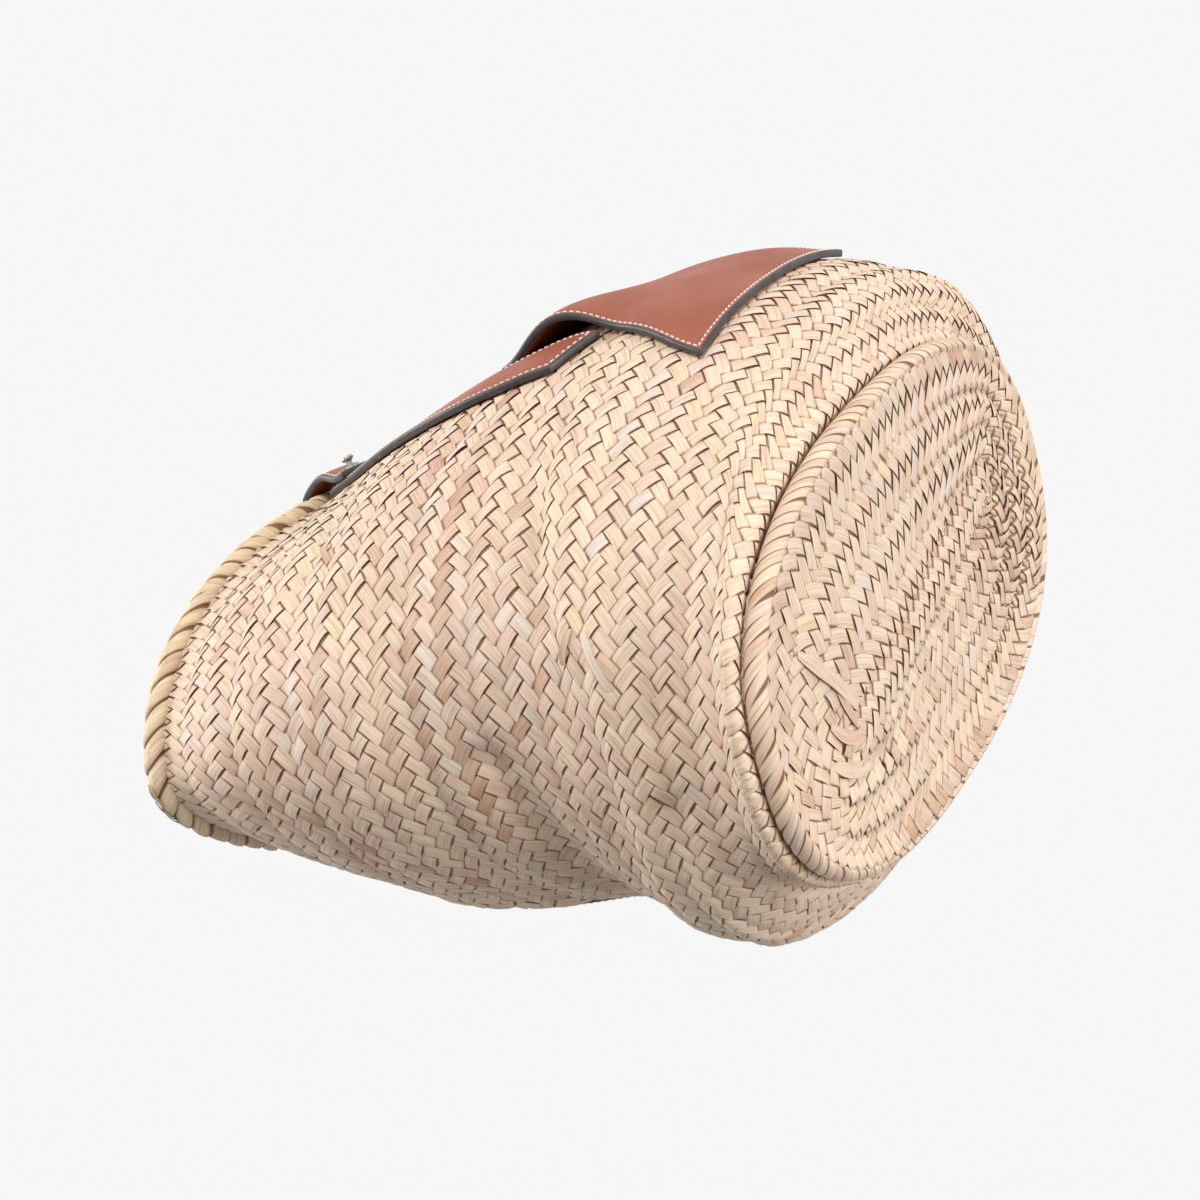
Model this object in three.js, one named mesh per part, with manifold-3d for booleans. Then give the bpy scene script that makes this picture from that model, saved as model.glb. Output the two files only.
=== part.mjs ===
// Basket bag of braided palm leaf with leather patch, straps and two handles.
// Millimetres, +Z up to the mouth, front (patch side) faces -Y.
// The origin is the middle of the base's flat underside.
import * as THREE from "three";
import { mergeVertices } from "three/addons/utils/BufferGeometryUtils.js";
import Module from "manifold-3d";

const wasm = await Module();
wasm.setup();

// Clearances
const SEAT_GAP = 0.35; // between pieces that lie on each other
const HINGE_GAP = 0.6; // between a handle and the strap end it bends from
const HOLE_PLAY = 0.4; // round a stud's shank, on the radius

// Base: a coiled disc inside an overcast ring
const BASE_HALF_LENGTH = 145; // to the ring's outer edge
const BASE_HALF_DEPTH = 80;
const BASE_THICKNESS = 7;
const RING_WIDTH = 11;
const RING_HEIGHT = 9;
const RING_CHAMFER = 2.6; // the cut corners of the ring's section

// Wall: one braid sewn in rounds. Each station is a level of its outer face. The bag is
// slack, so its levels have slid and turned against the base, seen from above.
const WALL_THICKNESS = 4;
const SEAM_INSET = 7; // how far the wall reaches in over the ring
const MOUTH_HALF_LENGTH = 185;
const MOUTH_FRONT = 99;
const MOUTH_BACK = 54;
const MOUTH_HEIGHT = 271.5;
const MOUTH_TURN = 18; // degrees
const LOWER_SEAM = 55; // height of the seam between the lower and the middle rounds
const UPPER_SEAM = 170; // and between the middle and the upper rounds
const STATIONS = [
  {
    height: RING_HEIGHT + SEAT_GAP,
    halfLength: BASE_HALF_LENGTH - SEAM_INSET,
    front: BASE_HALF_DEPTH - SEAM_INSET,
    back: BASE_HALF_DEPTH - SEAM_INSET,
    slideX: 0,
    slideY: 0,
  },
  { height: 12, halfLength: 155, front: 91, back: 84, slideX: 9, slideY: 1 },
  { height: 19, halfLength: 164, front: 111, back: 85, slideX: 22, slideY: 6 },
  { height: 34, halfLength: 162, front: 131, back: 95, slideX: 27, slideY: 18 },
  { height: 55, halfLength: 167, front: 136, back: 113, slideX: 28, slideY: 19 },
  { height: 78, halfLength: 172, front: 128, back: 124, slideX: 33, slideY: 8 },
  { height: 104, halfLength: 169, front: 118, back: 119, slideX: 36, slideY: 1 },
  { height: MOUTH_HEIGHT - 135.5, halfLength: 167, front: 110, back: 113, slideX: 28, slideY: 3 },
  { height: MOUTH_HEIGHT - 101.5, halfLength: 172, front: 103, back: 108, slideX: 26, slideY: 10 },
  { height: MOUTH_HEIGHT - 65.5, halfLength: 181, front: 98, back: 94, slideX: 33, slideY: 22 },
  { height: MOUTH_HEIGHT - 31.5, halfLength: 185, front: 96, back: 77, slideX: 42, slideY: 37 },
  {
    height: MOUTH_HEIGHT,
    halfLength: MOUTH_HALF_LENGTH,
    front: MOUTH_FRONT,
    back: MOUTH_BACK,
    slideX: 51,
    slideY: 54,
  },
];
const BASE_SQUARENESS = 2.45; // 2 is an ellipse, more is squarer
const MOUTH_SQUARENESS = 2;

// Rim rope, overcast on the wall's top edge
const ROPE_RADIUS = 5.5;

// Leather
const LEATHER_THICKNESS = 3;
const PATCH_WIDTH = 139;
const PATCH_BOTTOM = 46; // height of the patch's lower edge
const PATCH_TOP = 146;
const PATCH_LIFT = 9; // how far its left edge stands off the braid
const PATCH_LIFT_FROM = 84; // height where the edge starts to lift
const LEATHER_SLIDE = 39; // how far the front's middle has slid round the wall, at the mouth
const BACK_SHIFT = 70; // how far the back's middle lies towards +X, low on the wall
const BACK_RETURN = 50; // how much of that the turn of the wall takes back, at the mouth
const STRAP_WIDTH = 25;
const STRAP_PATCH_GAP = 2.5; // from the patch's side edge to the strap
const STRAP_TIP = 95; // height of the slanted end's lowest point
const STRAP_TIP_SLANT = 12;
const STRAP_TOP_DROP = 5.5; // from the mouth's level down to the strap's top edge
const STRAP_TOP = MOUTH_HEIGHT - STRAP_TOP_DROP;

// Handle ends, buttoned on the straps and led over the rim rope
const END_TIP_DROP = 25.5; // from the mouth's level down to the end's tip
const END_FREE_DROP = 14.5; // and down to where the end leaves the strap below it
const END_TIP = MOUTH_HEIGHT - END_TIP_DROP;
const END_FREE_FROM = MOUTH_HEIGHT - END_FREE_DROP;
const END_BULGE = 4.5; // how far the end bows out under the rope
const STUD_DROP = 19.5;
const STUD_HEIGHT_ON_WALL = MOUTH_HEIGHT - STUD_DROP;

// Studs: a flared head on a neck, a flange, and a bored shank for the screw
const HEAD_RADIUS = 3;
const HEAD_HEIGHT = 2.6;
const HEAD_EDGE = 1.6; // height at which the head is widest
const HEAD_CROWN_RADIUS = 2.4;
const NECK_RADIUS = 1.3;
const NECK_HEIGHT = 1.6;
const FLANGE_RADIUS = 3.6;
const FLANGE_HEIGHT = 1;
const SHANK_RADIUS = 2.1;
const BORE_RADIUS = 1.4;
const SCREW_RADIUS = 1.05;
const SCREW_LENGTH = 7;
const SCREW_HEAD_RADIUS = 4.5;
const SCREW_HEAD_HEIGHT = 1.5;
const SCREW_CROWN_RADIUS = 3.8;
const SCREW_EDGE = 0.9; // thickness of the screw head's edge
const SCREW_SLOT_WIDTH = 1;
const SCREW_SLOT_DEPTH = 0.7;

// Handles: a flat strap that hangs inside the mouth and turns over the rope
const HANDLE_DROP = 88; // from the hinge's cut down to the grip's middle
const HINGE_RISE = 9.6; // hinge axis above the rope's middle
const HINGE_CUT_RADIUS = 17; // the strap's moving part starts here
const HANDLE_LEG = 24; // straight part of the strap below the cut
const FRONT_LEAN = 0.13; // how far a handle leans off the wall's inner face, per unit down
const BACK_LEAN = 0.22;

// Mesh steps
const STEPS_ROUND = 52;
const STUD_SIDES = 16;
const STEPS_PER_STATION = 4;
const LEVEL_MARGIN = 2; // a leather's end leaves out wall levels closer than this
const TIP_STEPS = 3;
const BOW_STEPS = 5;
const OVER_ROPE_STEPS = 6;
const ROPE_SIDES = 8;
const OUTLINE_POINTS = 360;
const STRAP_COLUMNS = 3;
const HANDLE_COLUMNS = 4;
const PATCH_COLUMNS = 10;
const HANDLE_STEPS = 36;
const HANDLE_START_STEPS = 3; // the first of them that follows the handle's own curve
const LEG_SHARE = 0.16; // of the handle's steps, on each straight leg

const LEAF = { color: 0xddc4a2, roughness: 0.85, metalness: 0 };
const ROPE_LEAF = { color: 0xe0c698, roughness: 0.8, metalness: 0 };
const LEATHER = { color: 0xb46e54, roughness: 0.5, metalness: 0 };
const METAL = { color: 0x9a958c, roughness: 0.3, metalness: 1 };

const FRONT = -1;
const BACK = 1;
const UP = new THREE.Vector3(0, 0, 1);

const basket = new THREE.Group();

function add(name, geometry, finish) {
  const mesh = new THREE.Mesh(geometry, new THREE.MeshStandardMaterial(finish));
  mesh.name = name;
  basket.add(mesh);
}

// Closed solids from points

function signedVolume(points, triangles) {
  let volume = 0;
  for (const [a, b, c] of triangles) {
    volume += points[a].dot(points[b].clone().cross(points[c])) / 6;
  }
  return volume;
}

function solidFrom(points, triangles) {
  const outward = signedVolume(points, triangles) > 0;
  const faces = triangles.map(([a, b, c]) => (outward ? [a, b, c] : [a, c, b]));
  const geometry = new THREE.BufferGeometry();
  geometry.setAttribute(
    "position",
    new THREE.Float32BufferAttribute(points.flatMap((p) => [p.x, p.y, p.z]), 3),
  );
  geometry.setIndex(faces.flat());
  geometry.computeVertexNormals();
  return geometry;
}

// loops[i] goes round the section at step i, and the steps go round to the first
function ringSolid(loops) {
  const steps = loops.length;
  const sides = loops[0].length;
  const triangles = [];
  for (let i = 0; i < steps; i += 1) {
    const next = (i + 1) % steps;
    for (let j = 0; j < sides; j += 1) {
      const beside = (j + 1) % sides;
      const a = i * sides + j;
      const b = i * sides + beside;
      const c = next * sides + beside;
      const d = next * sides + j;
      triangles.push([a, b, c], [a, c, d]);
    }
  }
  return solidFrom(loops.flat(), triangles);
}

// A slab between two grids of the same size, outer[i][j] over inner[i][j]
function slabSolid(outer, inner) {
  const rows = outer.length;
  const columns = outer[0].length;
  const points = [...outer.flat(), ...inner.flat()];
  const top = (i, j) => i * columns + j;
  const under = (i, j) => rows * columns + i * columns + j;
  const triangles = [];
  const quad = (a, b, c, d) => triangles.push([a, b, c], [a, c, d]);
  for (let i = 0; i < rows - 1; i += 1) {
    for (let j = 0; j < columns - 1; j += 1) {
      quad(top(i, j), top(i, j + 1), top(i + 1, j + 1), top(i + 1, j));
      quad(under(i, j), under(i + 1, j), under(i + 1, j + 1), under(i, j + 1));
    }
    const last = columns - 1;
    quad(top(i, 0), top(i + 1, 0), under(i + 1, 0), under(i, 0));
    quad(top(i, last), under(i, last), under(i + 1, last), top(i + 1, last));
  }
  for (let j = 0; j < columns - 1; j += 1) {
    const last = rows - 1;
    quad(top(0, j), under(0, j), under(0, j + 1), top(0, j + 1));
    quad(top(last, j), top(last, j + 1), under(last, j + 1), under(last, j));
  }
  return solidFrom(points, triangles);
}

function toManifold(geometry) {
  const bare = geometry.clone();
  bare.deleteAttribute("normal");
  bare.deleteAttribute("uv");
  const merged = mergeVertices(bare);
  return new wasm.Manifold(
    new wasm.Mesh({
      numProp: 3,
      vertProperties: new Float32Array(merged.attributes.position.array),
      triVerts: new Uint32Array(merged.index.array),
    }),
  );
}

function toGeometry(manifold) {
  const mesh = manifold.getMesh();
  const geometry = new THREE.BufferGeometry();
  geometry.setAttribute("position", new THREE.BufferAttribute(mesh.vertProperties, 3));
  geometry.setIndex(new THREE.BufferAttribute(mesh.triVerts, 1));
  geometry.computeVertexNormals();
  return geometry;
}

function cut(geometry, ...tools) {
  let solid = toManifold(geometry);
  for (const tool of tools) {
    solid = solid.subtract(toManifold(tool));
  }
  return toGeometry(solid);
}

// The wall's outer face

function curveThrough(key) {
  return new THREE.SplineCurve(STATIONS.map((s) => new THREE.Vector2(s.height, s[key])));
}
const lengthCurve = curveThrough("halfLength");
const frontCurve = curveThrough("front");
const backCurve = curveThrough("back");
const slideXCurve = curveThrough("slideX");
const slideYCurve = curveThrough("slideY");

function positionAt(height) {
  let low = 0;
  let high = 1;
  for (let i = 0; i < 40; i += 1) {
    const middle = (low + high) / 2;
    if (lengthCurve.getPoint(middle).x < height) low = middle;
    else high = middle;
  }
  return (low + high) / 2;
}

// A level oval, started at the front's middle and going towards +X
function ovalPoint(angle, halfLength, front, back, squareness) {
  const side = Math.sin(angle);
  const away = -Math.cos(angle);
  const power = 2 / squareness;
  const depth = away < 0 ? front : back;
  const x = halfLength * Math.sign(side) * Math.abs(side) ** power;
  const y = depth * Math.sign(away) * Math.abs(away) ** power;
  return new THREE.Vector2(x, y);
}

function measuredOval(halfLength, front, back, squareness) {
  const points = [];
  const reached = [0];
  for (let i = 0; i <= OUTLINE_POINTS; i += 1) {
    const angle = (i / OUTLINE_POINTS) * 2 * Math.PI;
    points.push(ovalPoint(angle, halfLength, front, back, squareness));
    if (i > 0) reached.push(reached[i - 1] + points[i].distanceTo(points[i - 1]));
  }
  return { points, reached, girth: reached[OUTLINE_POINTS] };
}

function pointAlong(oval, distance) {
  const wrapped = ((distance % oval.girth) + oval.girth) % oval.girth;
  let low = 0;
  let high = OUTLINE_POINTS;
  while (high - low > 1) {
    const middle = Math.floor((low + high) / 2);
    if (oval.reached[middle] <= wrapped) low = middle;
    else high = middle;
  }
  const share = (wrapped - oval.reached[low]) / (oval.reached[high] - oval.reached[low]);
  return oval.points[low].clone().lerp(oval.points[high], share);
}

const levels = new Map();

function wallLevel(position) {
  const key = position.toFixed(6);
  if (!levels.has(key)) {
    const at = Math.min(1, Math.max(0, position));
    const squareness = THREE.MathUtils.lerp(BASE_SQUARENESS, MOUTH_SQUARENESS, at);
    const length = lengthCurve.getPoint(at);
    const oval = measuredOval(
      length.y,
      frontCurve.getPoint(at).y,
      backCurve.getPoint(at).y,
      squareness,
    );
    const slide = new THREE.Vector2(slideXCurve.getPoint(at).y, slideYCurve.getPoint(at).y);
    const turn = THREE.MathUtils.degToRad(MOUTH_TURN) * (length.x / MOUTH_HEIGHT);
    levels.set(key, { height: length.x, oval, slide, turn });
  }
  return levels.get(key);
}

// side is FRONT or BACK, along is measured round the wall from that side's middle, to +X
function wallPoint(side, along, position) {
  const { height, oval, slide, turn } = wallLevel(position);
  const rise = Math.max(0, (height - PATCH_BOTTOM) / (MOUTH_HEIGHT - PATCH_BOTTOM));
  const fromFront = along + LEATHER_SLIDE * rise;
  const fromBack = along + BACK_SHIFT - BACK_RETURN * rise;
  const distance = side === FRONT ? fromFront : oval.girth / 2 - fromBack;
  const flat = pointAlong(oval, distance).rotateAround(new THREE.Vector2(), turn).add(slide);
  return new THREE.Vector3(flat.x, flat.y, height);
}

// Position and outward normal on the wall's outer face
function wallSpot(side, along, position) {
  const reach = 0.5;
  const rise = 0.002;
  const point = wallPoint(side, along, position);
  const across = wallPoint(side, along + reach, position).sub(wallPoint(side, along - reach, position));
  const above = wallPoint(side, along, Math.min(1, position + rise));
  const below = wallPoint(side, along, Math.max(0, position - rise));
  const upward = above.sub(below);
  const normal = across.clone().cross(upward).normalize().multiplyScalar(-side);
  return { point, across: across.normalize(), normal };
}

function levelOutward(normal) {
  return new THREE.Vector3(normal.x, normal.y, 0).normalize();
}

function offWall(side, along, height, lift) {
  const spot = wallSpot(side, along, positionAt(height));
  return spot.point.addScaledVector(spot.normal, lift);
}

// Wall

const levelCount = (STATIONS.length - 1) * STEPS_PER_STATION;
const levelPositions = Array.from({ length: levelCount + 1 }, (_, i) => i / levelCount);

// The rounds of braid between two heights, as one ring
function wallLoops(low, high) {
  const between = levelPositions.filter((position) => {
    const { height } = wallLevel(position);
    return height > low + LEVEL_MARGIN && height < high - LEVEL_MARGIN;
  });
  const positions = [positionAt(low), ...between, positionAt(high)];
  const loops = [];
  for (let i = 0; i < STEPS_ROUND; i += 1) {
    const share = i / STEPS_ROUND;
    const outside = [];
    const inside = [];
    for (const position of positions) {
      const along = share * wallLevel(position).oval.girth;
      const { point, normal } = wallSpot(FRONT, along, position);
      const atMouth = wallLevel(position).height > MOUTH_HEIGHT - LEVEL_MARGIN;
      const away = atMouth ? levelOutward(normal) : normal;
      outside.push(point.clone());
      inside.push(point.addScaledVector(away, -WALL_THICKNESS));
    }
    const last = positions.length - 1;
    const innerSteps = inside.filter((_, j) => j % 2 === 0 || j === last);
    loops.push([...outside, ...innerSteps.reverse()]);
  }
  return loops;
}

// Rings that follow an oval: the section is a loop of (outward, up) offsets

function ringAlong(pathPoint, section) {
  const loops = [];
  for (let i = 0; i < STEPS_ROUND; i += 1) {
    const share = i / STEPS_ROUND;
    const small = 1e-3;
    const middle = pathPoint(share);
    const ahead = pathPoint(share + small).sub(pathPoint(share - small)).normalize();
    const outward = ahead.cross(UP).normalize();
    loops.push(
      section.map(([out, up]) => middle.clone().addScaledVector(outward, out).addScaledVector(UP, up)),
    );
  }
  return loops;
}

function roundSection(halfWidth, halfHeight, sides, turn) {
  return Array.from({ length: sides }, (_, i) => {
    const angle = ((i + turn) / sides) * 2 * Math.PI;
    return [halfWidth * Math.cos(angle), halfHeight * Math.sin(angle)];
  });
}

// Base

function baseOval(inset) {
  return measuredOval(
    BASE_HALF_LENGTH - inset,
    BASE_HALF_DEPTH - inset,
    BASE_HALF_DEPTH - inset,
    BASE_SQUARENESS,
  );
}

function baseDisc() {
  const oval = baseOval(RING_WIDTH + SEAT_GAP);
  const outline = Array.from({ length: STEPS_ROUND }, (_, i) =>
    pointAlong(oval, (i / STEPS_ROUND) * oval.girth),
  );
  return new THREE.ExtrudeGeometry(new THREE.Shape(outline), {
    depth: BASE_THICKNESS,
    bevelEnabled: false,
  });
}

function baseRing() {
  const halfWidth = RING_WIDTH / 2;
  const path = baseOval(halfWidth);
  const section = [
    [-halfWidth + RING_CHAMFER, 0],
    [halfWidth - RING_CHAMFER, 0],
    [halfWidth, RING_CHAMFER],
    [halfWidth, RING_HEIGHT - RING_CHAMFER],
    [halfWidth - RING_CHAMFER, RING_HEIGHT],
    [-halfWidth + RING_CHAMFER, RING_HEIGHT],
    [-halfWidth, RING_HEIGHT - RING_CHAMFER],
    [-halfWidth, RING_CHAMFER],
  ];
  const pathPoint = (share) => {
    const flat = pointAlong(path, share * path.girth);
    return new THREE.Vector3(flat.x, flat.y, 0);
  };
  return ringSolid(ringAlong(pathPoint, section));
}

// Rim rope: its middle lies over the middle of the wall's top edge

const mouth = wallLevel(1);
const ROPE_HEIGHT = MOUTH_HEIGHT + SEAT_GAP + ROPE_RADIUS;

function ropeMiddle(side, along) {
  const spot = wallSpot(side, along, 1);
  const outward = levelOutward(spot.normal);
  const point = spot.point.clone().addScaledVector(outward, -WALL_THICKNESS / 2);
  point.z = ROPE_HEIGHT;
  return { point, outward };
}

function rimRope() {
  const pathPoint = (share) => ropeMiddle(FRONT, share * mouth.oval.girth).point;
  const section = roundSection(ROPE_RADIUS, ROPE_RADIUS, ROPE_SIDES, 0);
  return ringSolid(ringAlong(pathPoint, section));
}

// Leather that lies on the wall: a grid of spots, and a slab over it

function heightsBetween(low, high) {
  const inner = levelPositions.map((p) => wallLevel(p).height);
  return [low, ...inner.filter((h) => h > low + LEVEL_MARGIN && h < high - LEVEL_MARGIN), high];
}

function slabOnWall(side, alongs, rows, lift) {
  const face = (extra) =>
    rows.map((row) =>
      alongs.map((along, j) => offWall(side, along, row[j], lift(along, row[j]) + extra)),
    );
  return slabSolid(face(LEATHER_THICKNESS), face(0));
}

function spread(low, high, count) {
  return Array.from({ length: count + 1 }, (_, i) => THREE.MathUtils.lerp(low, high, i / count));
}

// The patch stands off the braid at its upper left edge, where the bag is dented
function patchLift(along, height) {
  const sideways = THREE.MathUtils.smoothstep(-along, 0, PATCH_WIDTH / 2);
  const upward = (height - PATCH_LIFT_FROM) / (PATCH_TOP - PATCH_LIFT_FROM);
  const bow = upward > 0 ? Math.sin(Math.min(1, upward) * Math.PI) ** 2 : 0;
  return SEAT_GAP + PATCH_LIFT * sideways * bow;
}

function frontPatch() {
  const alongs = spread(-PATCH_WIDTH / 2, PATCH_WIDTH / 2, PATCH_COLUMNS);
  const rows = heightsBetween(PATCH_BOTTOM, PATCH_TOP).map((height) => alongs.map(() => height));
  return slabOnWall(FRONT, alongs, rows, patchLift);
}

// Straps: hand is -1 on the left and 1 on the right, seen from the front
const STRAP_ALONG = PATCH_WIDTH / 2 + STRAP_PATCH_GAP + STRAP_WIDTH / 2;

function strapColumns(hand, count) {
  const half = STRAP_WIDTH / 2;
  return spread(hand * STRAP_ALONG - half, hand * STRAP_ALONG + half, count);
}

function strap(side, hand) {
  const alongs = strapColumns(hand, STRAP_COLUMNS);
  const half = STRAP_WIDTH / 2;
  const tip = alongs.map((along) => {
    const fromPatch = (hand * along - (STRAP_ALONG - half)) / STRAP_WIDTH;
    return STRAP_TIP + STRAP_TIP_SLANT * fromPatch;
  });
  const above = heightsBetween(STRAP_TIP + STRAP_TIP_SLANT, STRAP_TOP).slice(1);
  const tipRows = spread(0, 1, TIP_STEPS).map((share) =>
    tip.map((height) => THREE.MathUtils.lerp(height, above[0], share)),
  );
  const rows = [...tipRows, ...above.slice(1).map((height) => alongs.map(() => height))];
  return slabOnWall(side, alongs, rows, () => SEAT_GAP);
}

// Handle ends: rows of (outward, up) from the rope's middle, the same for each column

const OVER_ROPE = ROPE_RADIUS + SEAT_GAP + LEATHER_THICKNESS / 2;

// The hinge's frame: across runs from the left strap to the right one
function hingeFrame(side) {
  const left = ropeMiddle(side, -STRAP_ALONG).point;
  const right = ropeMiddle(side, STRAP_ALONG).point;
  const across = right.clone().sub(left).normalize();
  const outward = across.clone().cross(UP).multiplyScalar(-side);
  const middle = left.clone().lerp(right, 0.5).addScaledVector(UP, HINGE_RISE);
  return { across, outward, middle, reach: left.distanceTo(right) / 2 };
}

// Drops a point to where the strap meets the hinge's round cut
function dropToCut(side, point, radius) {
  const { outward, middle } = hingeFrame(side);
  const away = point.clone().sub(middle).dot(outward);
  return point.setZ(middle.z - Math.sqrt(radius * radius - away * away));
}

function endColumn(side, along) {
  const { point: middle, outward } = ropeMiddle(side, along);
  const place = (out, up) => middle.clone().addScaledVector(outward, out).addScaledVector(UP, up);
  const seat = 2 * SEAT_GAP + LEATHER_THICKNESS;
  const onStrap = (height, lift) => {
    const at = positionAt(height);
    const { point, normal } = wallSpot(side, along, at);
    return { inner: point.clone().addScaledVector(normal, lift), normal };
  };
  const inner = [];
  const outer = [];
  for (const height of [END_TIP, STUD_HEIGHT_ON_WALL, END_FREE_FROM]) {
    const { inner: spot, normal } = onStrap(height, seat);
    inner.push(spot);
    outer.push(spot.clone().addScaledVector(normal, LEATHER_THICKNESS));
  }
  // the free bow from the strap up to the rope's outer side
  const from = inner[inner.length - 1].clone().lerp(outer[outer.length - 1], 0.5);
  const to = place(OVER_ROPE, 0);
  const lean = outer[outer.length - 1].clone().sub(inner[inner.length - 1]).normalize();
  for (let i = 1; i < BOW_STEPS; i += 1) {
    const share = i / BOW_STEPS;
    const bow = END_BULGE * Math.sin(share * Math.PI);
    const normal = lean.clone().lerp(outward, share).normalize();
    const spot = from.clone().lerp(to, share).addScaledVector(normal, bow);
    inner.push(spot.clone().addScaledVector(normal, -LEATHER_THICKNESS / 2));
    outer.push(spot.clone().addScaledVector(normal, LEATHER_THICKNESS / 2));
  }
  for (let i = 0; i <= OVER_ROPE_STEPS; i += 1) {
    const angle = (i / OVER_ROPE_STEPS) * Math.PI;
    const low = OVER_ROPE - LEATHER_THICKNESS / 2;
    const high = OVER_ROPE + LEATHER_THICKNESS / 2;
    inner.push(place(low * Math.cos(angle), low * Math.sin(angle)));
    outer.push(place(high * Math.cos(angle), high * Math.sin(angle)));
  }
  const last = inner.length - 1;
  inner.push(dropToCut(side, inner[last].clone(), HINGE_CUT_RADIUS));
  outer.push(dropToCut(side, outer[last].clone(), HINGE_CUT_RADIUS));
  return { inner, outer };
}

function handleEnd(side, hand) {
  const columns = strapColumns(hand, HANDLE_COLUMNS).map((along) => endColumn(side, along));
  const rows = (key) => columns[0][key].map((_, i) => columns.map((column) => column[key][i]));
  return slabSolid(rows("outer"), rows("inner"));
}

// Handles: a flat strap that turns edge-on towards the grip

function handleStart(side, hand) {
  const columns = strapColumns(hand, HANDLE_COLUMNS).map((along) => {
    const { point, outward } = ropeMiddle(side, along);
    const half = LEATHER_THICKNESS / 2;
    const near = point.clone().addScaledVector(outward, -OVER_ROPE + half);
    const far = point.clone().addScaledVector(outward, -OVER_ROPE - half);
    const radius = HINGE_CUT_RADIUS + HINGE_GAP;
    return { near: dropToCut(side, near, radius), far: dropToCut(side, far, radius) };
  });
  const { point, outward } = ropeMiddle(side, hand * STRAP_ALONG);
  const frame = hingeFrame(side);
  const from = point.clone().addScaledVector(outward, -OVER_ROPE).sub(frame.middle);
  const turn = Math.asin(hand * outward.dot(frame.across));
  return { columns, depth: from.dot(frame.outward), reach: Math.abs(from.dot(frame.across)), turn };
}

function handle(side) {
  const { across, outward, middle } = hingeFrame(side);
  const left = handleStart(side, -1);
  const right = handleStart(side, 1);
  const bend = HANDLE_DROP - HANDLE_LEG;
  const lean = side === FRONT ? FRONT_LEAN : BACK_LEAN;
  const rise = UP.clone().addScaledVector(outward, lean).normalize();
  const broadside = across.clone().cross(rise).multiplyScalar(-side);
  const innerRows = [left.columns.map((c) => c.near)];
  const outerRows = [left.columns.map((c) => c.far)];
  for (let i = HANDLE_START_STEPS; i <= HANDLE_STEPS - HANDLE_START_STEPS; i += 1) {
    const share = i / HANDLE_STEPS;
    const leg = Math.min(share, 1 - share, LEG_SHARE) / LEG_SHARE;
    const round = THREE.MathUtils.clamp((share - LEG_SHARE) / (1 - 2 * LEG_SHARE), 0, 1) * Math.PI;
    const over = (1 - Math.cos(round)) / 2;
    const bow = Math.sin(round);
    const sideways = THREE.MathUtils.lerp(-left.reach, right.reach, over);
    const spot = middle
      .clone()
      .addScaledVector(across, sideways)
      .addScaledVector(outward, THREE.MathUtils.lerp(left.depth, right.depth, over))
      .addScaledVector(UP, -HINGE_CUT_RADIUS)
      .addScaledVector(rise, -HANDLE_LEG * leg - bend * bow);
    const reach = (left.reach + right.reach) / 2;
    const ahead = across
      .clone()
      .multiplyScalar(reach * bow)
      .addScaledVector(rise, -bend * Math.cos(round))
      .normalize();
    const inPlane = ahead.clone().cross(broadside).multiplyScalar(-side);
    const startTurn = share < 0.5 ? left.turn : right.turn;
    const twist = THREE.MathUtils.lerp(startTurn, Math.PI / 2, bow ** 2);
    const width = inPlane.multiplyScalar(Math.cos(twist)).addScaledVector(broadside, Math.sin(twist));
    const thick = ahead.clone().cross(width).normalize().multiplyScalar(LEATHER_THICKNESS / 2);
    const columns = spread(-STRAP_WIDTH / 2, STRAP_WIDTH / 2, HANDLE_COLUMNS);
    const row = (sign) =>
      columns.map((c) => spot.clone().addScaledVector(width, c).addScaledVector(thick, sign));
    innerRows.push(row(-side));
    outerRows.push(row(side));
  }
  const lastColumns = right.columns.reverse();
  innerRows.push(lastColumns.map((c) => c.near));
  outerRows.push(lastColumns.map((c) => c.far));
  return slabSolid(outerRows, innerRows);
}

// Studs and their screws, along the wall's outward normal

function studFrame(side, hand) {
  const at = positionAt(STUD_HEIGHT_ON_WALL);
  const { point, across, normal } = wallSpot(side, hand * STRAP_ALONG, at);
  const upward = normal.clone().cross(across).normalize();
  return new THREE.Matrix4().makeBasis(across, upward, normal).setPosition(point);
}

const STACK = 2 * (SEAT_GAP + LEATHER_THICKNESS); // the two leathers over the wall
const HOLE_REACH = STACK + WALL_THICKNESS + SCREW_LENGTH;

function lathe(profile, frame) {
  const points = profile.map(([r, y]) => new THREE.Vector2(r, y));
  return new THREE.LatheGeometry(points, STUD_SIDES).rotateX(Math.PI / 2).applyMatrix4(frame);
}

function studHole(frame) {
  const radius = SHANK_RADIUS + HOLE_PLAY;
  const length = 2 * HOLE_REACH;
  const hole = new THREE.CylinderGeometry(radius, radius, length, STUD_SIDES);
  return hole.rotateX(Math.PI / 2).applyMatrix4(frame);
}

function stud(frame) {
  const seat = STACK + SEAT_GAP;
  const neck = seat + FLANGE_HEIGHT;
  const head = neck + NECK_HEIGHT;
  const inside = -WALL_THICKNESS + SEAT_GAP;
  return lathe(
    [
      [0, seat],
      [BORE_RADIUS, seat],
      [BORE_RADIUS, inside],
      [SHANK_RADIUS, inside],
      [SHANK_RADIUS, seat],
      [FLANGE_RADIUS, seat],
      [FLANGE_RADIUS, neck],
      [NECK_RADIUS, neck],
      [NECK_RADIUS, head],
      [HEAD_RADIUS, head + HEAD_EDGE],
      [HEAD_CROWN_RADIUS, head + HEAD_HEIGHT],
      [0, head + HEAD_HEIGHT],
    ],
    frame,
  );
}

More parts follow.
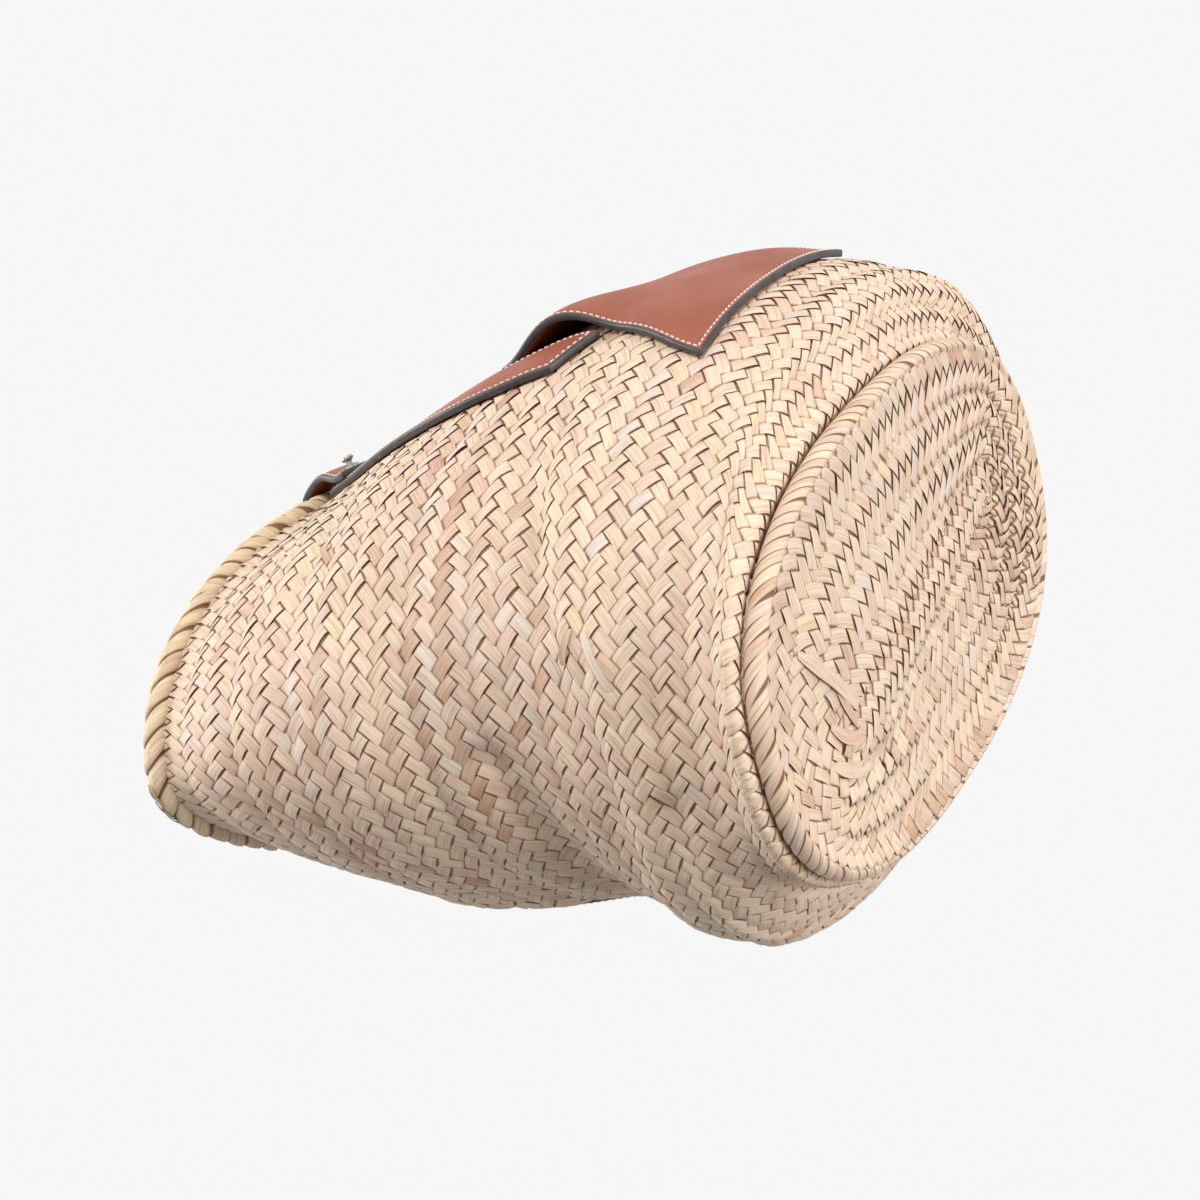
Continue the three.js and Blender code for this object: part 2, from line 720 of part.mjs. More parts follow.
function studScrew(frame) {
  const face = -WALL_THICKNESS - SEAT_GAP;
  const body = lathe(
    [
      [0, face - SCREW_HEAD_HEIGHT],
      [SCREW_CROWN_RADIUS, face - SCREW_HEAD_HEIGHT],
      [SCREW_HEAD_RADIUS, face - SCREW_EDGE],
      [SCREW_HEAD_RADIUS, face],
      [SCREW_RADIUS, face],
      [SCREW_RADIUS, face + SCREW_LENGTH],
      [0, face + SCREW_LENGTH],
    ],
    new THREE.Matrix4(),
  );
  const slot = new THREE.BoxGeometry(SCREW_HEAD_RADIUS * 3, SCREW_SLOT_WIDTH, SCREW_SLOT_DEPTH * 2);
  slot.translate(0, 0, face - SCREW_HEAD_HEIGHT);
  return cut(body, slot).applyMatrix4(frame);
}

// Assembly

const CORNERS = [
  { name: "front_left", side: FRONT, hand: -1 },
  { name: "front_right", side: FRONT, hand: 1 },
  { name: "back_left", side: BACK, hand: -1 },
  { name: "back_right", side: BACK, hand: 1 },
];
for (const corner of CORNERS) {
  corner.frame = studFrame(corner.side, corner.hand);
  corner.hole = studHole(corner.frame);
}

const upperRounds = ringSolid(wallLoops(UPPER_SEAM + SEAT_GAP, MOUTH_HEIGHT));
add("wall_lower", ringSolid(wallLoops(STATIONS[0].height, LOWER_SEAM)), LEAF);
add("wall_middle", ringSolid(wallLoops(LOWER_SEAM + SEAT_GAP, UPPER_SEAM)), LEAF);
add("wall_upper", cut(upperRounds, ...CORNERS.map((corner) => corner.hole)), LEAF);
add("base", baseDisc(), LEAF);
add("base_ring", baseRing(), LEAF);
add("rim_rope", rimRope(), ROPE_LEAF);
add("front_patch", frontPatch(), LEATHER);
for (const { name, side, hand, frame, hole } of CORNERS) {
  add(`strap_${name}`, cut(strap(side, hand), hole), LEATHER);
  add(`handle_end_${name}`, cut(handleEnd(side, hand), hole), LEATHER);
  add(`stud_${name}`, stud(frame), METAL);
  add(`stud_screw_${name}`, studScrew(frame), METAL);
}
add("front_handle", handle(FRONT), LEATHER);
add("back_handle", handle(BACK), LEATHER);

export default basket;
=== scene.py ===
"""A slack basket bag of braided palm leaf, with leather patch, straps and handles.

Sizes are millimetres until a mesh is made, in the frame's axes: +Z to the mouth, -Y to the front.
"""

import math

import bpy
import numpy as np
from mathutils import Matrix, Vector

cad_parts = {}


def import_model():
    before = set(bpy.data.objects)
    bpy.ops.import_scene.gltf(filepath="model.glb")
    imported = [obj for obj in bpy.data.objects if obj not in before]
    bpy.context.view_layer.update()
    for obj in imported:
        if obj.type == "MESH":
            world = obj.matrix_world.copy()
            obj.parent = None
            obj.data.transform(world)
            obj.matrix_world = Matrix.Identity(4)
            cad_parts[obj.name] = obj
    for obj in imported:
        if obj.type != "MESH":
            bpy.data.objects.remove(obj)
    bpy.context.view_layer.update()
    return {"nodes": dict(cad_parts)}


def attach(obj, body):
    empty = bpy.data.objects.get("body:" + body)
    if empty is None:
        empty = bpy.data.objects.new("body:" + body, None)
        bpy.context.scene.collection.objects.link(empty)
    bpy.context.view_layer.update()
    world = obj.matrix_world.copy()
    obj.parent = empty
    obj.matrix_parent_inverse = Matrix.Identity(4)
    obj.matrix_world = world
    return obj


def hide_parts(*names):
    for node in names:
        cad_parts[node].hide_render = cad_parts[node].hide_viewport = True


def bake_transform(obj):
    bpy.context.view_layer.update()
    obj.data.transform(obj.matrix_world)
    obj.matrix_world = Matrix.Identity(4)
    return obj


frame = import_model()
rng = np.random.default_rng(31)
MM = 0.001

# Wall, as the solids have it: levels of its outer face, from the base ring to the mouth
MOUTH_HEIGHT = 271.5
MOUTH_TURN = math.radians(18)
BASE_SQUARENESS = 2.45
MOUTH_SQUARENESS = 2
LEVEL_HEIGHT = [9.35, 12, 19, 34, 55, 78, 104, 136, 170, 206, 240, MOUTH_HEIGHT]
LEVEL_HALF_LENGTH = [138, 155, 164, 162, 167, 172, 169, 167, 172, 181, 185, 185]
LEVEL_FRONT = [73, 91, 111, 131, 136, 128, 118, 110, 103, 98, 96, 99]
LEVEL_BACK = [73, 84, 85, 95, 113, 124, 119, 113, 108, 94, 77, 54]
LEVEL_SLIDE_X = [0, 9, 22, 27, 28, 33, 36, 28, 26, 33, 42, 51]
LEVEL_SLIDE_Y = [0, 1, 6, 18, 19, 8, 1, 3, 10, 22, 37, 54]
WALL_THICKNESS = 4

# Base and ring
BASE_HALF_LENGTH = 145
BASE_HALF_DEPTH = 80
RING_WIDTH = 11
RING_HEIGHT = 9
CORE_LEFT = np.array([-77.0, 21.0])
CORE_RIGHT = np.array([83.0, -9.0])
CORE_HALF = 0.4

# Rope and leather
ROPE_RADIUS = 5.5
SEAT_GAP = 0.35
LEATHER_THICKNESS = 3
LEATHER_SLIDE = 39
BACK_SHIFT = 70
BACK_RETURN = 50
PATCH_WIDTH = 139
PATCH_BOTTOM = 46
PATCH_TOP = 146
PATCH_LIFT = 9
PATCH_LIFT_FROM = 84
STRAP_WIDTH = 25
STRAP_ALONG = PATCH_WIDTH / 2 + 2.5 + STRAP_WIDTH / 2
STRAP_TIP = 95
STRAP_TIP_SLANT = 12
STRAP_TOP = MOUTH_HEIGHT - 5.5
END_TIP = MOUTH_HEIGHT - 25.5
END_FREE_FROM = MOUTH_HEIGHT - 14.5
END_LEAVES = math.radians(34)  # how steeply a handle's end lifts off its strap above the stud
END_LANDS = math.radians(42)  # and where on the rope it lands, from the rope's outer side
END_REACH = 1.35  # how full the arch between them is
HANDLE_DROP = 88
HINGE_RISE = 9.6
HINGE_CUT_RADIUS = 17
HANDLE_LEG = 24
LEG_SHARE = 0.16
OVER_ROPE = ROPE_RADIUS + SEAT_GAP + LEATHER_THICKNESS / 2

# Braid
STRAND = 5
PITCH = STRAND * math.sqrt(2)  # between neighbouring floats in a row, and between rows, on the core
FLOAT_PITCH = 8.4  # the same on the wall, whose strands are a little wider and steeper
ROW_PITCH = 7.7
RIM_STRETCH = 0.1  # of the climb: the last rows under the mouth are taller
SHINGLE = 0.15  # each strand's lower edge lies over the next strand by about twice this
BOW = 0.1  # of a float's pitch: how far a strand curves while it lies over the others
FLOAT_LIFT = 0.54  # of a strand's middle over or under the braid's middle surface
BRAID_DEPTH = 1.7  # of the braid's middle surface under the wall's outer face
ROWS_PER_ROUND = 4  # the wall's braid is this many rows wide

FRONT, BACK = -1, 1
LEAN = {FRONT: 0.13, BACK: 0.22}  # of the hanging handles, inwards
UP = np.array([0.0, 0.0, 1.0])


# Small helpers


def unit(vectors):
    return vectors / np.linalg.norm(vectors, axis=-1, keepdims=True)


def smoothstep(x, low, high):
    share = np.clip((x - low) / (high - low), 0, 1)
    return share * share * (3 - 2 * share)


def spline(values, t):
    """The solids' curve through evenly spaced values, t from 0 to 1."""
    values = np.asarray(values, float)
    last = len(values) - 1
    place = np.clip(t, 0, 1) * last
    index = np.floor(place).astype(int)
    w = place - index
    p0, p1 = values[np.maximum(index - 1, 0)], values[index]
    p2, p3 = values[np.minimum(index + 1, last)], values[np.minimum(index + 2, last)]
    v0, v1 = (p2 - p0) / 2, (p3 - p1) / 2
    return (2 * p1 - 2 * p2 + v0 + v1) * w**3 + (-3 * p1 + 3 * p2 - 2 * v0 - v1) * w**2 + v0 * w + p1


def splined(corners, t):
    return np.stack([spline(column, t) for column in np.asarray(corners, float).T], axis=-1)


def distances(line):
    """How far along a run of points each of them lies."""
    return np.concatenate([[0], np.cumsum(np.linalg.norm(np.diff(line, axis=0), axis=-1))])


def shared_out(line, count):
    """Evenly spaced points on a closed line, and its length."""
    reached = distances(line)
    wanted = np.arange(count) / count * reached[-1]
    return np.stack([np.interp(wanted, reached, column) for column in line.T], axis=-1), reached[-1]


def oval(half_length, front, back, squareness, corners=721):
    """A closed level oval with squared ends, from the front's middle towards +X."""
    angle = np.linspace(0, 2 * math.pi, corners)
    side, away = np.sin(angle), -np.cos(angle)
    power = 2 / squareness
    x = half_length * np.sign(side) * np.abs(side) ** power
    y = np.where(away < 0, front, back) * np.sign(away) * np.abs(away) ** power
    return np.stack([x, y], axis=-1)


def mesh_object(name, points, faces, smooth=True):
    """A piece from points in millimetres."""
    mesh = bpy.data.meshes.new(name)
    mesh.vertices.add(len(points))
    mesh.vertices.foreach_set("co", (np.asarray(points, float) * MM).ravel())
    faces = np.asarray(faces)
    mesh.loops.add(faces.size)
    mesh.loops.foreach_set("vertex_index", faces.ravel())
    mesh.polygons.add(len(faces))
    mesh.polygons.foreach_set("loop_start", np.arange(0, faces.size, faces.shape[1]))
    mesh.polygons.foreach_set("use_smooth", np.full(len(faces), smooth))
    mesh.update(calc_edges=True)
    mesh.validate()
    made = bpy.data.objects.new(name, mesh)
    bpy.context.scene.collection.objects.link(made)
    return made


def grid_faces(rows, columns, wrap=False):
    """Quads of a grid of points, numbered along its rows."""
    i = np.arange(rows - 1)[:, None]
    j = np.arange(columns if wrap else columns - 1)[None, :]
    a, b = i * columns + j, i * columns + (j + 1) % columns
    return np.stack([a, b, b + columns, a + columns], axis=-1).reshape(-1, 4)


def give(piece, name, values):
    """Stores a value, or three, for each point."""
    values = np.asarray(values, np.float32)
    kind, field = ("FLOAT", "value") if values.ndim == 1 else ("FLOAT_VECTOR", "vector")
    piece.data.attributes.new(name, kind, "POINT").data.foreach_set(field, values.ravel())


def waves(places, count, longest, seed):
    """A smooth field between about -1 and 1, from a sum of plane waves."""
    source = np.random.default_rng(seed)
    total = np.zeros(places.shape[:-1])
    for _ in range(count):
        heading = unit(source.normal(0, 1, places.shape[-1]))
        length = longest * source.uniform(0.45, 1)
        phase = source.uniform(0, 2 * math.pi)
        total = total + np.sin(places @ heading * 2 * math.pi / length + phase)
    return total / math.sqrt(count)


# The wall's surface, sampled on a grid of levels and shares of the girth

LEVELS = 265
SHARES = 720


def wall_grid():
    position = np.linspace(0, 1, LEVELS)
    heights = spline(LEVEL_HEIGHT, position)
    rows, girths = [], []
    for t, height in zip(position, heights):
        squareness = BASE_SQUARENESS + (MOUTH_SQUARENESS - BASE_SQUARENESS) * t
        sizes = [float(spline(v, t)) for v in (LEVEL_HALF_LENGTH, LEVEL_FRONT, LEVEL_BACK)]
        flat, girth = shared_out(oval(*sizes, squareness), SHARES)
        turn = MOUTH_TURN * height / MOUTH_HEIGHT
        c, s = math.cos(turn), math.sin(turn)
        x = flat[:, 0] * c - flat[:, 1] * s + float(spline(LEVEL_SLIDE_X, t))
        y = flat[:, 0] * s + flat[:, 1] * c + float(spline(LEVEL_SLIDE_Y, t))
        rows.append(np.stack([x, y, np.full(SHARES, height)], axis=-1))
        girths.append(girth)
    return heights, np.array(girths), np.array(rows)


def grid_normals(points):
    across = np.roll(points, -1, axis=1) - np.roll(points, 1, axis=1)
    return unit(np.cross(across, np.gradient(points, axis=0)))


def look_up(grid, level, share):
    """Interpolates a grid of vectors at row numbers and at shares of its columns, which close."""
    rows, columns = grid.shape[:2]
    level = np.clip(level, 0, rows - 1)
    column = np.mod(share, 1) * columns
    i0 = np.minimum(np.floor(level).astype(int), rows - 2)
    j0 = np.floor(column).astype(int) % columns
    j1 = (j0 + 1) % columns
    u = (level - i0)[..., None]
    v = (column - np.floor(column))[..., None]
    low = grid[i0, j0] * (1 - v) + grid[i0, j1] * v
    high = grid[i0 + 1, j0] * (1 - v) + grid[i0 + 1, j1] * v
    return low * (1 - u) + high * u


level_heights, level_girths, wall_points = wall_grid()
wall_normals = grid_normals(wall_points)
level_steps = np.linalg.norm(np.diff(wall_points, axis=0), axis=-1)
level_climb = np.concatenate([np.zeros((1, SHARES)), np.cumsum(level_steps, axis=0)])
STRAIGHT_LEVEL = 30  # the girth is measured above this one
WALL_CLIMB = level_climb[-1].mean()
WALL_ROWS = int(round(WALL_CLIMB / ROW_PITCH))
WALL_FLOATS = int(round(level_girths[STRAIGHT_LEVEL:].mean() / FLOAT_PITCH))


def rise_over_patch(height):
    return np.maximum(0, (height - PATCH_BOTTOM) / (MOUTH_HEIGHT - PATCH_BOTTOM))


def wall_spot(side, along, height):
    """Points and outward normals of the wall's outer face, as the solids measure along."""
    along, height = np.broadcast_arrays(np.asarray(along, float), np.asarray(height, float))
    level = np.interp(height, level_heights, np.arange(LEVELS))
    girth = np.interp(level, np.arange(LEVELS), level_girths)
    rise = rise_over_patch(height)
    if side == FRONT:
        share = (along + LEATHER_SLIDE * rise) / girth
    else:
        share = 0.5 - (along + BACK_SHIFT - BACK_RETURN * rise) / girth
    return look_up(wall_points, level, share), unit(look_up(wall_normals, level, share))


LEATHER_NEAR, LEATHER_FAR = 2, 18  # from its edge: where the wall starts and stops being free


def under_leather(share, height, girth):
    """1 where the wall carries the patch or a strap, falling to 0 beside them."""
    rise = rise_over_patch(height)
    front = (np.mod(share + 0.5, 1) - 0.5) * girth - LEATHER_SLIDE * rise
    back = (0.5 - np.mod(share, 1)) * girth - BACK_SHIFT + BACK_RETURN * rise
    off_middle = np.abs(height - (PATCH_BOTTOM + PATCH_TOP) / 2)
    beside_patch = np.maximum(np.abs(front) - PATCH_WIDTH / 2, off_middle - (PATCH_TOP - PATCH_BOTTOM) / 2)
    beside_straps = [np.abs(np.abs(along) - STRAP_ALONG) - STRAP_WIDTH / 2 for along in (front, back)]
    beside = np.minimum(*[np.maximum(b, STRAP_TIP - height) for b in beside_straps])
    return 1 - smoothstep(np.minimum(beside, beside_patch), LEATHER_NEAR, LEATHER_FAR)


# The braid on that surface: rows that climb evenly on every side, and floats square to them

STRAIGHT_FROM = 0.5  # of the climb
SMOOTH_WAVES = 5


def smoothed(grid):
    spectrum = np.fft.rfft(grid, axis=1)
    spectrum[:, SMOOTH_WAVES + 1 :] = 0
    return np.fft.irfft(spectrum, SHARES, axis=1)


def even_rows():
    """The level at even shares of the climb, for each share of the girth."""
    even = np.linspace(0, 1, LEVELS)
    levels = [np.interp(even, climb / climb[-1], np.arange(LEVELS)) for climb in level_climb.T]
    return np.clip(smoothed(np.array(levels).T), 0, LEVELS - 1)


def straightening():
    """The shift round, in shares of the girth, that keeps the floats square to the rows."""
    across = unit(np.roll(row_points, -1, axis=1) - np.roll(row_points, 1, axis=1))
    lean = (np.gradient(row_points, axis=0) * across).sum(-1) / level_girths[:, None]
    start = int(STRAIGHT_FROM * LEVELS)
    share = np.arange(SHARES) / SHARES
    shift = np.zeros((LEVELS, SHARES))
    for step, order in ((1, range(start, LEVELS - 1)), (-1, range(start, 0, -1))):
        for i in order:
            here = np.interp(share + shift[i], share, lean[i], period=1)
            calm = smoothstep(i / LEVELS, 0.02, 0.15)
            shift[i + step] = shift[i] - step * here * calm
    return smoothed(shift)


all_shares = np.broadcast_to(np.arange(SHARES) / SHARES, (LEVELS, SHARES))
row_levels = even_rows()
row_points = look_up(wall_points, row_levels, all_shares)
row_normals = unit(look_up(wall_normals, row_levels, all_shares))
row_shift = straightening()[..., None]


# Strands of a two over, two under plait, placed by floats round, rows up and depth

ALONG_OFFSETS = np.array([0.0, 0.09, 0.22, 0.5, 0.78, 0.91])
ACROSS_OFFSETS = np.array([-1, -0.72, 0, 0.72, 1])
EDGE_DROP = 0.32
HALF_WIDTH = 0.262  # of the pitch; a quarter would just close the braid
UNEVEN = (0.035, 0.11, 0.07)  # a strand's wander, lift and tilt
UNEVEN_WIDTH = 0.05
STEEPNESS = 3.4  # of a strand's change from over to under
TUCK_EARLY = 0.05  # rows before the braid's edge, where its strands start to dive
TUCK_ROWS = 0.45
DARK_RISE = (0.3, 0.8)  # painted shade where a strand dives under its neighbours: shares of its rise, dark below the first, not above the second
DARK_ROWS = 0.3  # painted shade over the tucked ends, beyond the braid's edge, in rows
TONES = ((0.7, 9.0), (0.45, 2.0))  # how strongly the leaf's tone changes, and over how many rows
HUES = ((0.7, 11.0), (0.35, 2.0))
ROW_TONE = 0.75  # how strongly all strands of a row change together
ROUND_HUE = 0.6
STRIP_APART = 7.3  # between strands, in the leaf's own texture
FAMILY_APART = 411
WALL_DIVE = 1.6  # how deep a strand's tucked end goes


def strand_rise(row):
    """1 on the even rows, -1 on the odd ones, with steep changes between them."""
    wave = np.sin(math.pi * row)
    return 0.8 * np.tanh(STEEPNESS * wave) + 0.2 * wave


def strand_noise(strands, row, scale, source):
    """A smooth random value along each strand, new every scale rows."""
    steps = int(math.ceil((row.max() - row.min()) / scale)) + 3
    knots = source.normal(0, 1, (strands, steps))
    place = (row - row.min()) / scale
    index = np.floor(place).astype(int)
    share = smoothstep(place - index, 0, 1)
    return knots[:, index] * (1 - share) + knots[:, index + 1] * share


def moods(floats, around, row, rows_each, source):
    """A slow random value for each few rows, changing along them."""
    knots_round = 9
    number = np.floor(row / rows_each).astype(int)
    number = number - number.min()
    knots = source.normal(0, 1, (number.max() + 1, knots_round))
    place = np.mod(around / floats, 1) * knots_round
    index = np.floor(place).astype(int)
    share = smoothstep(place - index, 0, 1)
    before, after = index % knots_round, (index + 1) % knots_round
    return knots[number, before] * (1 - share) + knots[number, after] * share


def plait(floats, low_row, high_row, tuck, source, shingle=SHINGLE, first_row=0, dive=WALL_DIVE):
    """Both families of strands, as arrays of rounds, rows, depth, the leaf's own values and its painted
    shade.
    """
    whole_rows = np.arange(math.floor(low_row - tuck) - 1, math.ceil(high_row + tuck) + 1)
    rows = (whole_rows[:, None] + ALONG_OFFSETS[None, :]).ravel()
    rows = rows[(rows > low_row - tuck - 1e-6) & (rows < high_row + tuck + 1e-6)]
    phase = rows - first_row
    beyond = np.maximum(low_row - rows, rows - high_row)
    dived = dive * smoothstep(beyond + TUCK_EARLY, 0, TUCK_ROWS)
    rise = strand_rise(phase)
    # Painted shade: darkest where a strand turns under its neighbours and where its end is tucked away
    turning = 1 - smoothstep(np.abs(rise), *DARK_RISE)
    dark = np.maximum(turning, smoothstep(beyond - TUCK_EARLY, 0, DARK_ROWS))
    numbers = np.arange(floats)[:, None]
    v = ACROSS_OFFSETS

    def noise(scale):
        return strand_noise(floats, rows, scale, source)

    families = []
    for lean in (1, -1):
        wander, lift, tilt = (share * noise(1.0) for share in UNEVEN)
        width = HALF_WIDTH * (1 + UNEVEN_WIDTH * noise(3.0))
        over = np.clip(lean * np.sin(math.pi * phase), 0, 1)
        middle = numbers + lean * (phase - 0.25) + wander + BOW * (over - 0.5)
        around = middle[..., None] + v * width[..., None]
        up = rows[:, None] - lean * v * width[..., None] + 0.02 * wander[..., None]
        body = FLOAT_LIFT * lean * rise[:, None] * (1 - EDGE_DROP * np.abs(v) ** 4)
        depth = body + lift[..., None] + (tilt[..., None] - shingle) * v - dived[:, None]
        float_row = np.floor(phase + 1e-6) + 0 * middle
        tone = sum(strength * noise(rows_each) for strength, rows_each in TONES)
        hue = sum(strength * noise(rows_each) for strength, rows_each in HUES)
        tone = tone + ROW_TONE * moods(floats, middle, float_row, 1, source)
        hue = hue + ROUND_HUE * moods(floats, middle, float_row, ROWS_PER_ROUND, source)
        full = np.ones(around.shape)
        own = numbers[..., None] * STRIP_APART + lean * FAMILY_APART
        place = (rows[:, None] * PITCH * math.sqrt(2), v * STRAND / 2, own)
        family = {"around": around, "up": up, "depth": depth}
        family["leaf_place"] = np.stack([part * full for part in place], axis=-1)
        family["leaf_tone"] = tone[..., None] * full
        family["leaf_hue"] = hue[..., None] * full
        family["leaf_painted_shade"] = dark[:, None] * full
        families.append(family)
    return {key: np.concatenate([f[key] for f in families]) for key in families[0]}


def strands_mesh(name, groups, material):
    """One mesh of all the strands in some groups."""
    points, faces, given = [], [], {"leaf_place": [], "leaf_tone": [], "leaf_hue": [], "leaf_painted_shade": []}
    start = 0
    for group in groups:
        strands, steps, across = group["points"].shape[:3]
        cells = grid_faces(steps, across)
        offsets = start + np.arange(strands)[:, None, None] * steps * across
        faces.append((cells[None] + offsets).reshape(-1, 4))
        points.append(group["points"].reshape(-1, 3))
        for key, parts in given.items():
            parts.append(group[key].reshape((-1, 3) if key == "leaf_place" else -1))
        start += strands * steps * across
    made = mesh_object(name, np.concatenate(points), np.concatenate(faces))
    for key, parts in given.items():
        give(made, key, np.concatenate(parts))
    made.data.materials.append(material)
    return made


# Wall

# Pleats of the slack wall: runs of (share of the girth, height), half width and depth
PLEATS = (
    (((0.86, 104), (0.838, 97), (0.786, 84), (0.733, 74), (0.672, 82), (0.64, 84)), 8, 3.6),
    (((0.73, 118), (0.682, 109), (0.63, 108)), 9, 4),
    (((0.73, 50), (0.69, 59), (0.63, 60)), 8, 3.6),
    (((0.80, 152), (0.74, 146), (0.66, 150)), 10, 2.8),
    (((0.87, 66), (0.82, 58), (0.77, 50)), 7, 1.8),
    (((0.86, 196), (0.81, 190), (0.76, 192)), 9, 1.8),
    (((0.60, 148), (0.61, 190)), 15, -3.5),
)
# Places where the leaf is pinker and browner: share of the girth, height, reach and strength
BROWNED = (
    (0.762, 192, 20, 1.0),
    (0.745, 176, 24, 0.9),
    (0.785, 104, 20, 0.7),
    (0.752, 98, 26, 1.0),
    (0.842, 150, 16, 0.6),
    (0.32, 130, 40, 0.8),
    (0.1, 190, 34, 0.7),
)
BROWNER = {"leaf_hue": -1.3, "leaf_tone": 0.6}
SHARE_MM = 900  # of girth, for distances from a pleat
SLACK = 0.9  # how far the wall sags between its pleats, on average
SLACK_MOST = 3
SLACK_LENGTH = 150
SEAM_DEPTH = 1.1
SEAM_HALF = 0.5  # of a row
LEATHER_LIFT = 0.8  # the braid lies closer to the leather than to the wall's other parts
FOOT_BULGE = 3.6  # of the first rows, which swell out against the ring
FOOT_BULGE_AT = 9.5
FOOT_BULGE_HALF = 6.5
FOOT_SETTLED = 20  # above the ring
FOOT_TUCK = 0.9  # how far the first strands turn in, for each millimetre below the wall
MOUTH_SETTLED = 12  # below the mouth
RIM_STRETCH_POWER = 8  # how late the rows get taller
BEND = 0.09  # of a float or row: how unevenly the strands are laid
BEND_LENGTH = 60


def pleat_depth(share, height):
    total = np.zeros(np.shape(share))
    for run, half_width, depth in PLEATS:
        nearest = np.full(np.shape(share), np.inf)
        for (s0, h0), (s1, h1) in zip(run, run[1:]):
            run_s, run_h = (s1 - s0) * SHARE_MM, h1 - h0
            off_s, off_h = (np.mod(share, 1) - s0) * SHARE_MM, height - h0
            t = np.clip((off_s * run_s + off_h * run_h) / (run_s**2 + run_h**2), 0, 1)
            nearest = np.minimum(nearest, np.hypot(off_s - t * run_s, off_h - t * run_h))
        total = total + depth * np.exp(-((nearest / half_width) ** 2))
    return total


def browned(share, height):
    total = np.zeros(np.shape(share))
    for at_share, at_height, reach, strength in BROWNED:
        aside = (np.mod(share - at_share + 0.5, 1) - 0.5) * SHARE_MM
        total = total + strength * np.exp(-(aside**2 + (height - at_height) ** 2) / reach**2)
    return total


def wall_sag(spot, share, up):
    """How far the slack wall lies in from its outer face, and its sewn seams."""
    height = spot[..., 2]
    girth = np.interp(height, level_heights, level_girths)
    slack = np.clip(SLACK + SLACK * waves(spot, 9, SLACK_LENGTH, 5), 0, SLACK_MOST)
    seam = np.mod(up, ROWS_PER_ROUND)
    crease = SEAM_DEPTH * np.exp(-((np.minimum(seam, ROWS_PER_ROUND - seam) / SEAM_HALF) ** 2))
    under = under_leather(share, height, girth)
    return (slack + crease + pleat_depth(share, height)) * (1 - under) - LEATHER_LIFT * under


def on_wall(around, up, depth):
    """Points of the wall at floats round and rows up, depth below its outer face."""
    risen = up / WALL_ROWS
    climb = WALL_CLIMB * ((1 - RIM_STRETCH) * risen + RIM_STRETCH * np.abs(risen) ** RIM_STRETCH_POWER)
    level = climb / WALL_CLIMB * (LEVELS - 1)
    share = around / WALL_FLOATS
    share = share + look_up(row_shift, level, share)[..., 0]
    spot = look_up(row_points, level, share)
    normal = unit(look_up(row_normals, level, share))
    flat = unit(normal * np.array([1, 1, 0]))
    top = smoothstep(climb, WALL_CLIMB - MOUTH_SETTLED, WALL_CLIMB)
    normal = unit(normal * (1 - top)[..., None] + flat * top[..., None])
    sag = wall_sag(spot, share, up) * (1 - top) * smoothstep(climb, 0, FOOT_SETTLED)
    sag = sag - FOOT_BULGE * np.exp(-(((climb - FOOT_BULGE_AT) / FOOT_BULGE_HALF) ** 2))
    above = np.maximum(climb - WALL_CLIMB, 0)[..., None] * UP
    inward = np.minimum(climb, 0)[..., None] * flat * FOOT_TUCK
    return spot - normal * (depth + sag)[..., None] + above + inward


def wall_strands():
    plaited = plait(WALL_FLOATS, 0.5, WALL_ROWS + 0.25, 0.3, rng)
    around, up = plaited["around"], plaited["up"]
    angle = around * 2 * math.pi / WALL_FLOATS
    radius = WALL_FLOATS * FLOAT_PITCH / (2 * math.pi)
    rolled = np.stack([np.cos(angle) * radius, np.sin(angle) * radius, up * ROW_PITCH], axis=-1)
    bend, bend_up = (BEND * waves(rolled, 7, BEND_LENGTH, seed) for seed in (11, 12))
    plaited["points"] = on_wall(around + bend, up + bend_up, BRAID_DEPTH - plaited["depth"])
    worn = browned(around / WALL_FLOATS, plaited["points"][..., 2])
    for key, change in BROWNER.items():
        plaited[key] = plaited[key] + change * worn
    return plaited


# Loose strips: leaf ends that have come out of the braid and lie on it

RIBBON_POINT = (-0.25, 0.3)  # shares of its length between which a strip gets wide
RIBBON_CURL = 0.25
RIBBON_FAMILY, RIBBON_APART = 5000.0, 17  # in the leaf's own texture


def ribbon(line, normals, width, tone, hue, number):
    """One free strip along points, pointed at its first end, with the leaf's own values."""
    ahead = unit(np.gradient(line, axis=0))
    beside = unit(np.cross(normals, ahead))
    share = np.linspace(0, 1, len(line))
    half = width / 2 * smoothstep(share, *RIBBON_POINT)
    reach = ACROSS_OFFSETS[None, :] * half[:, None]
    curl = RIBBON_CURL * (ACROSS_OFFSETS[None, :] ** 2) * np.sin(share * math.pi)[:, None]
    points = line[:, None] + beside[:, None] * reach[..., None] + normals[:, None] * curl[..., None]
    along = (share * distances(line)[-1])[:, None] + 0 * reach
    own = np.full(reach.shape, RIBBON_FAMILY + RIBBON_APART * number)
    place = np.stack([along, reach * STRAND / width * 0.8, own], axis=-1)
    values = {"leaf_tone": tone, "leaf_hue": hue, "leaf_painted_shade": 0.0}
    filled = {key: np.full((1, *reach.shape), value) for key, value in values.items()}
    return {"points": points[None], "leaf_place": place[None], **filled}


# Runs of (share of the girth, height), width, lift at the middle, and the leaf's tone and hue
WALL_LOOSE = (
    (((0.798, 69), (0.789, 66), (0.779, 61)), 3.0, 1.4, -1.0, -2.2),
    (((0.797, 74), (0.789, 77), (0.781, 80)), 2.6, 1.2, 1.2, -0.8),
    (((0.842, 196), (0.836, 190), (0.83, 185)), 2.6, 1.0, 2.4, -0.6),
)
LOOSE_STEPS = np.linspace(0, 1, 15)


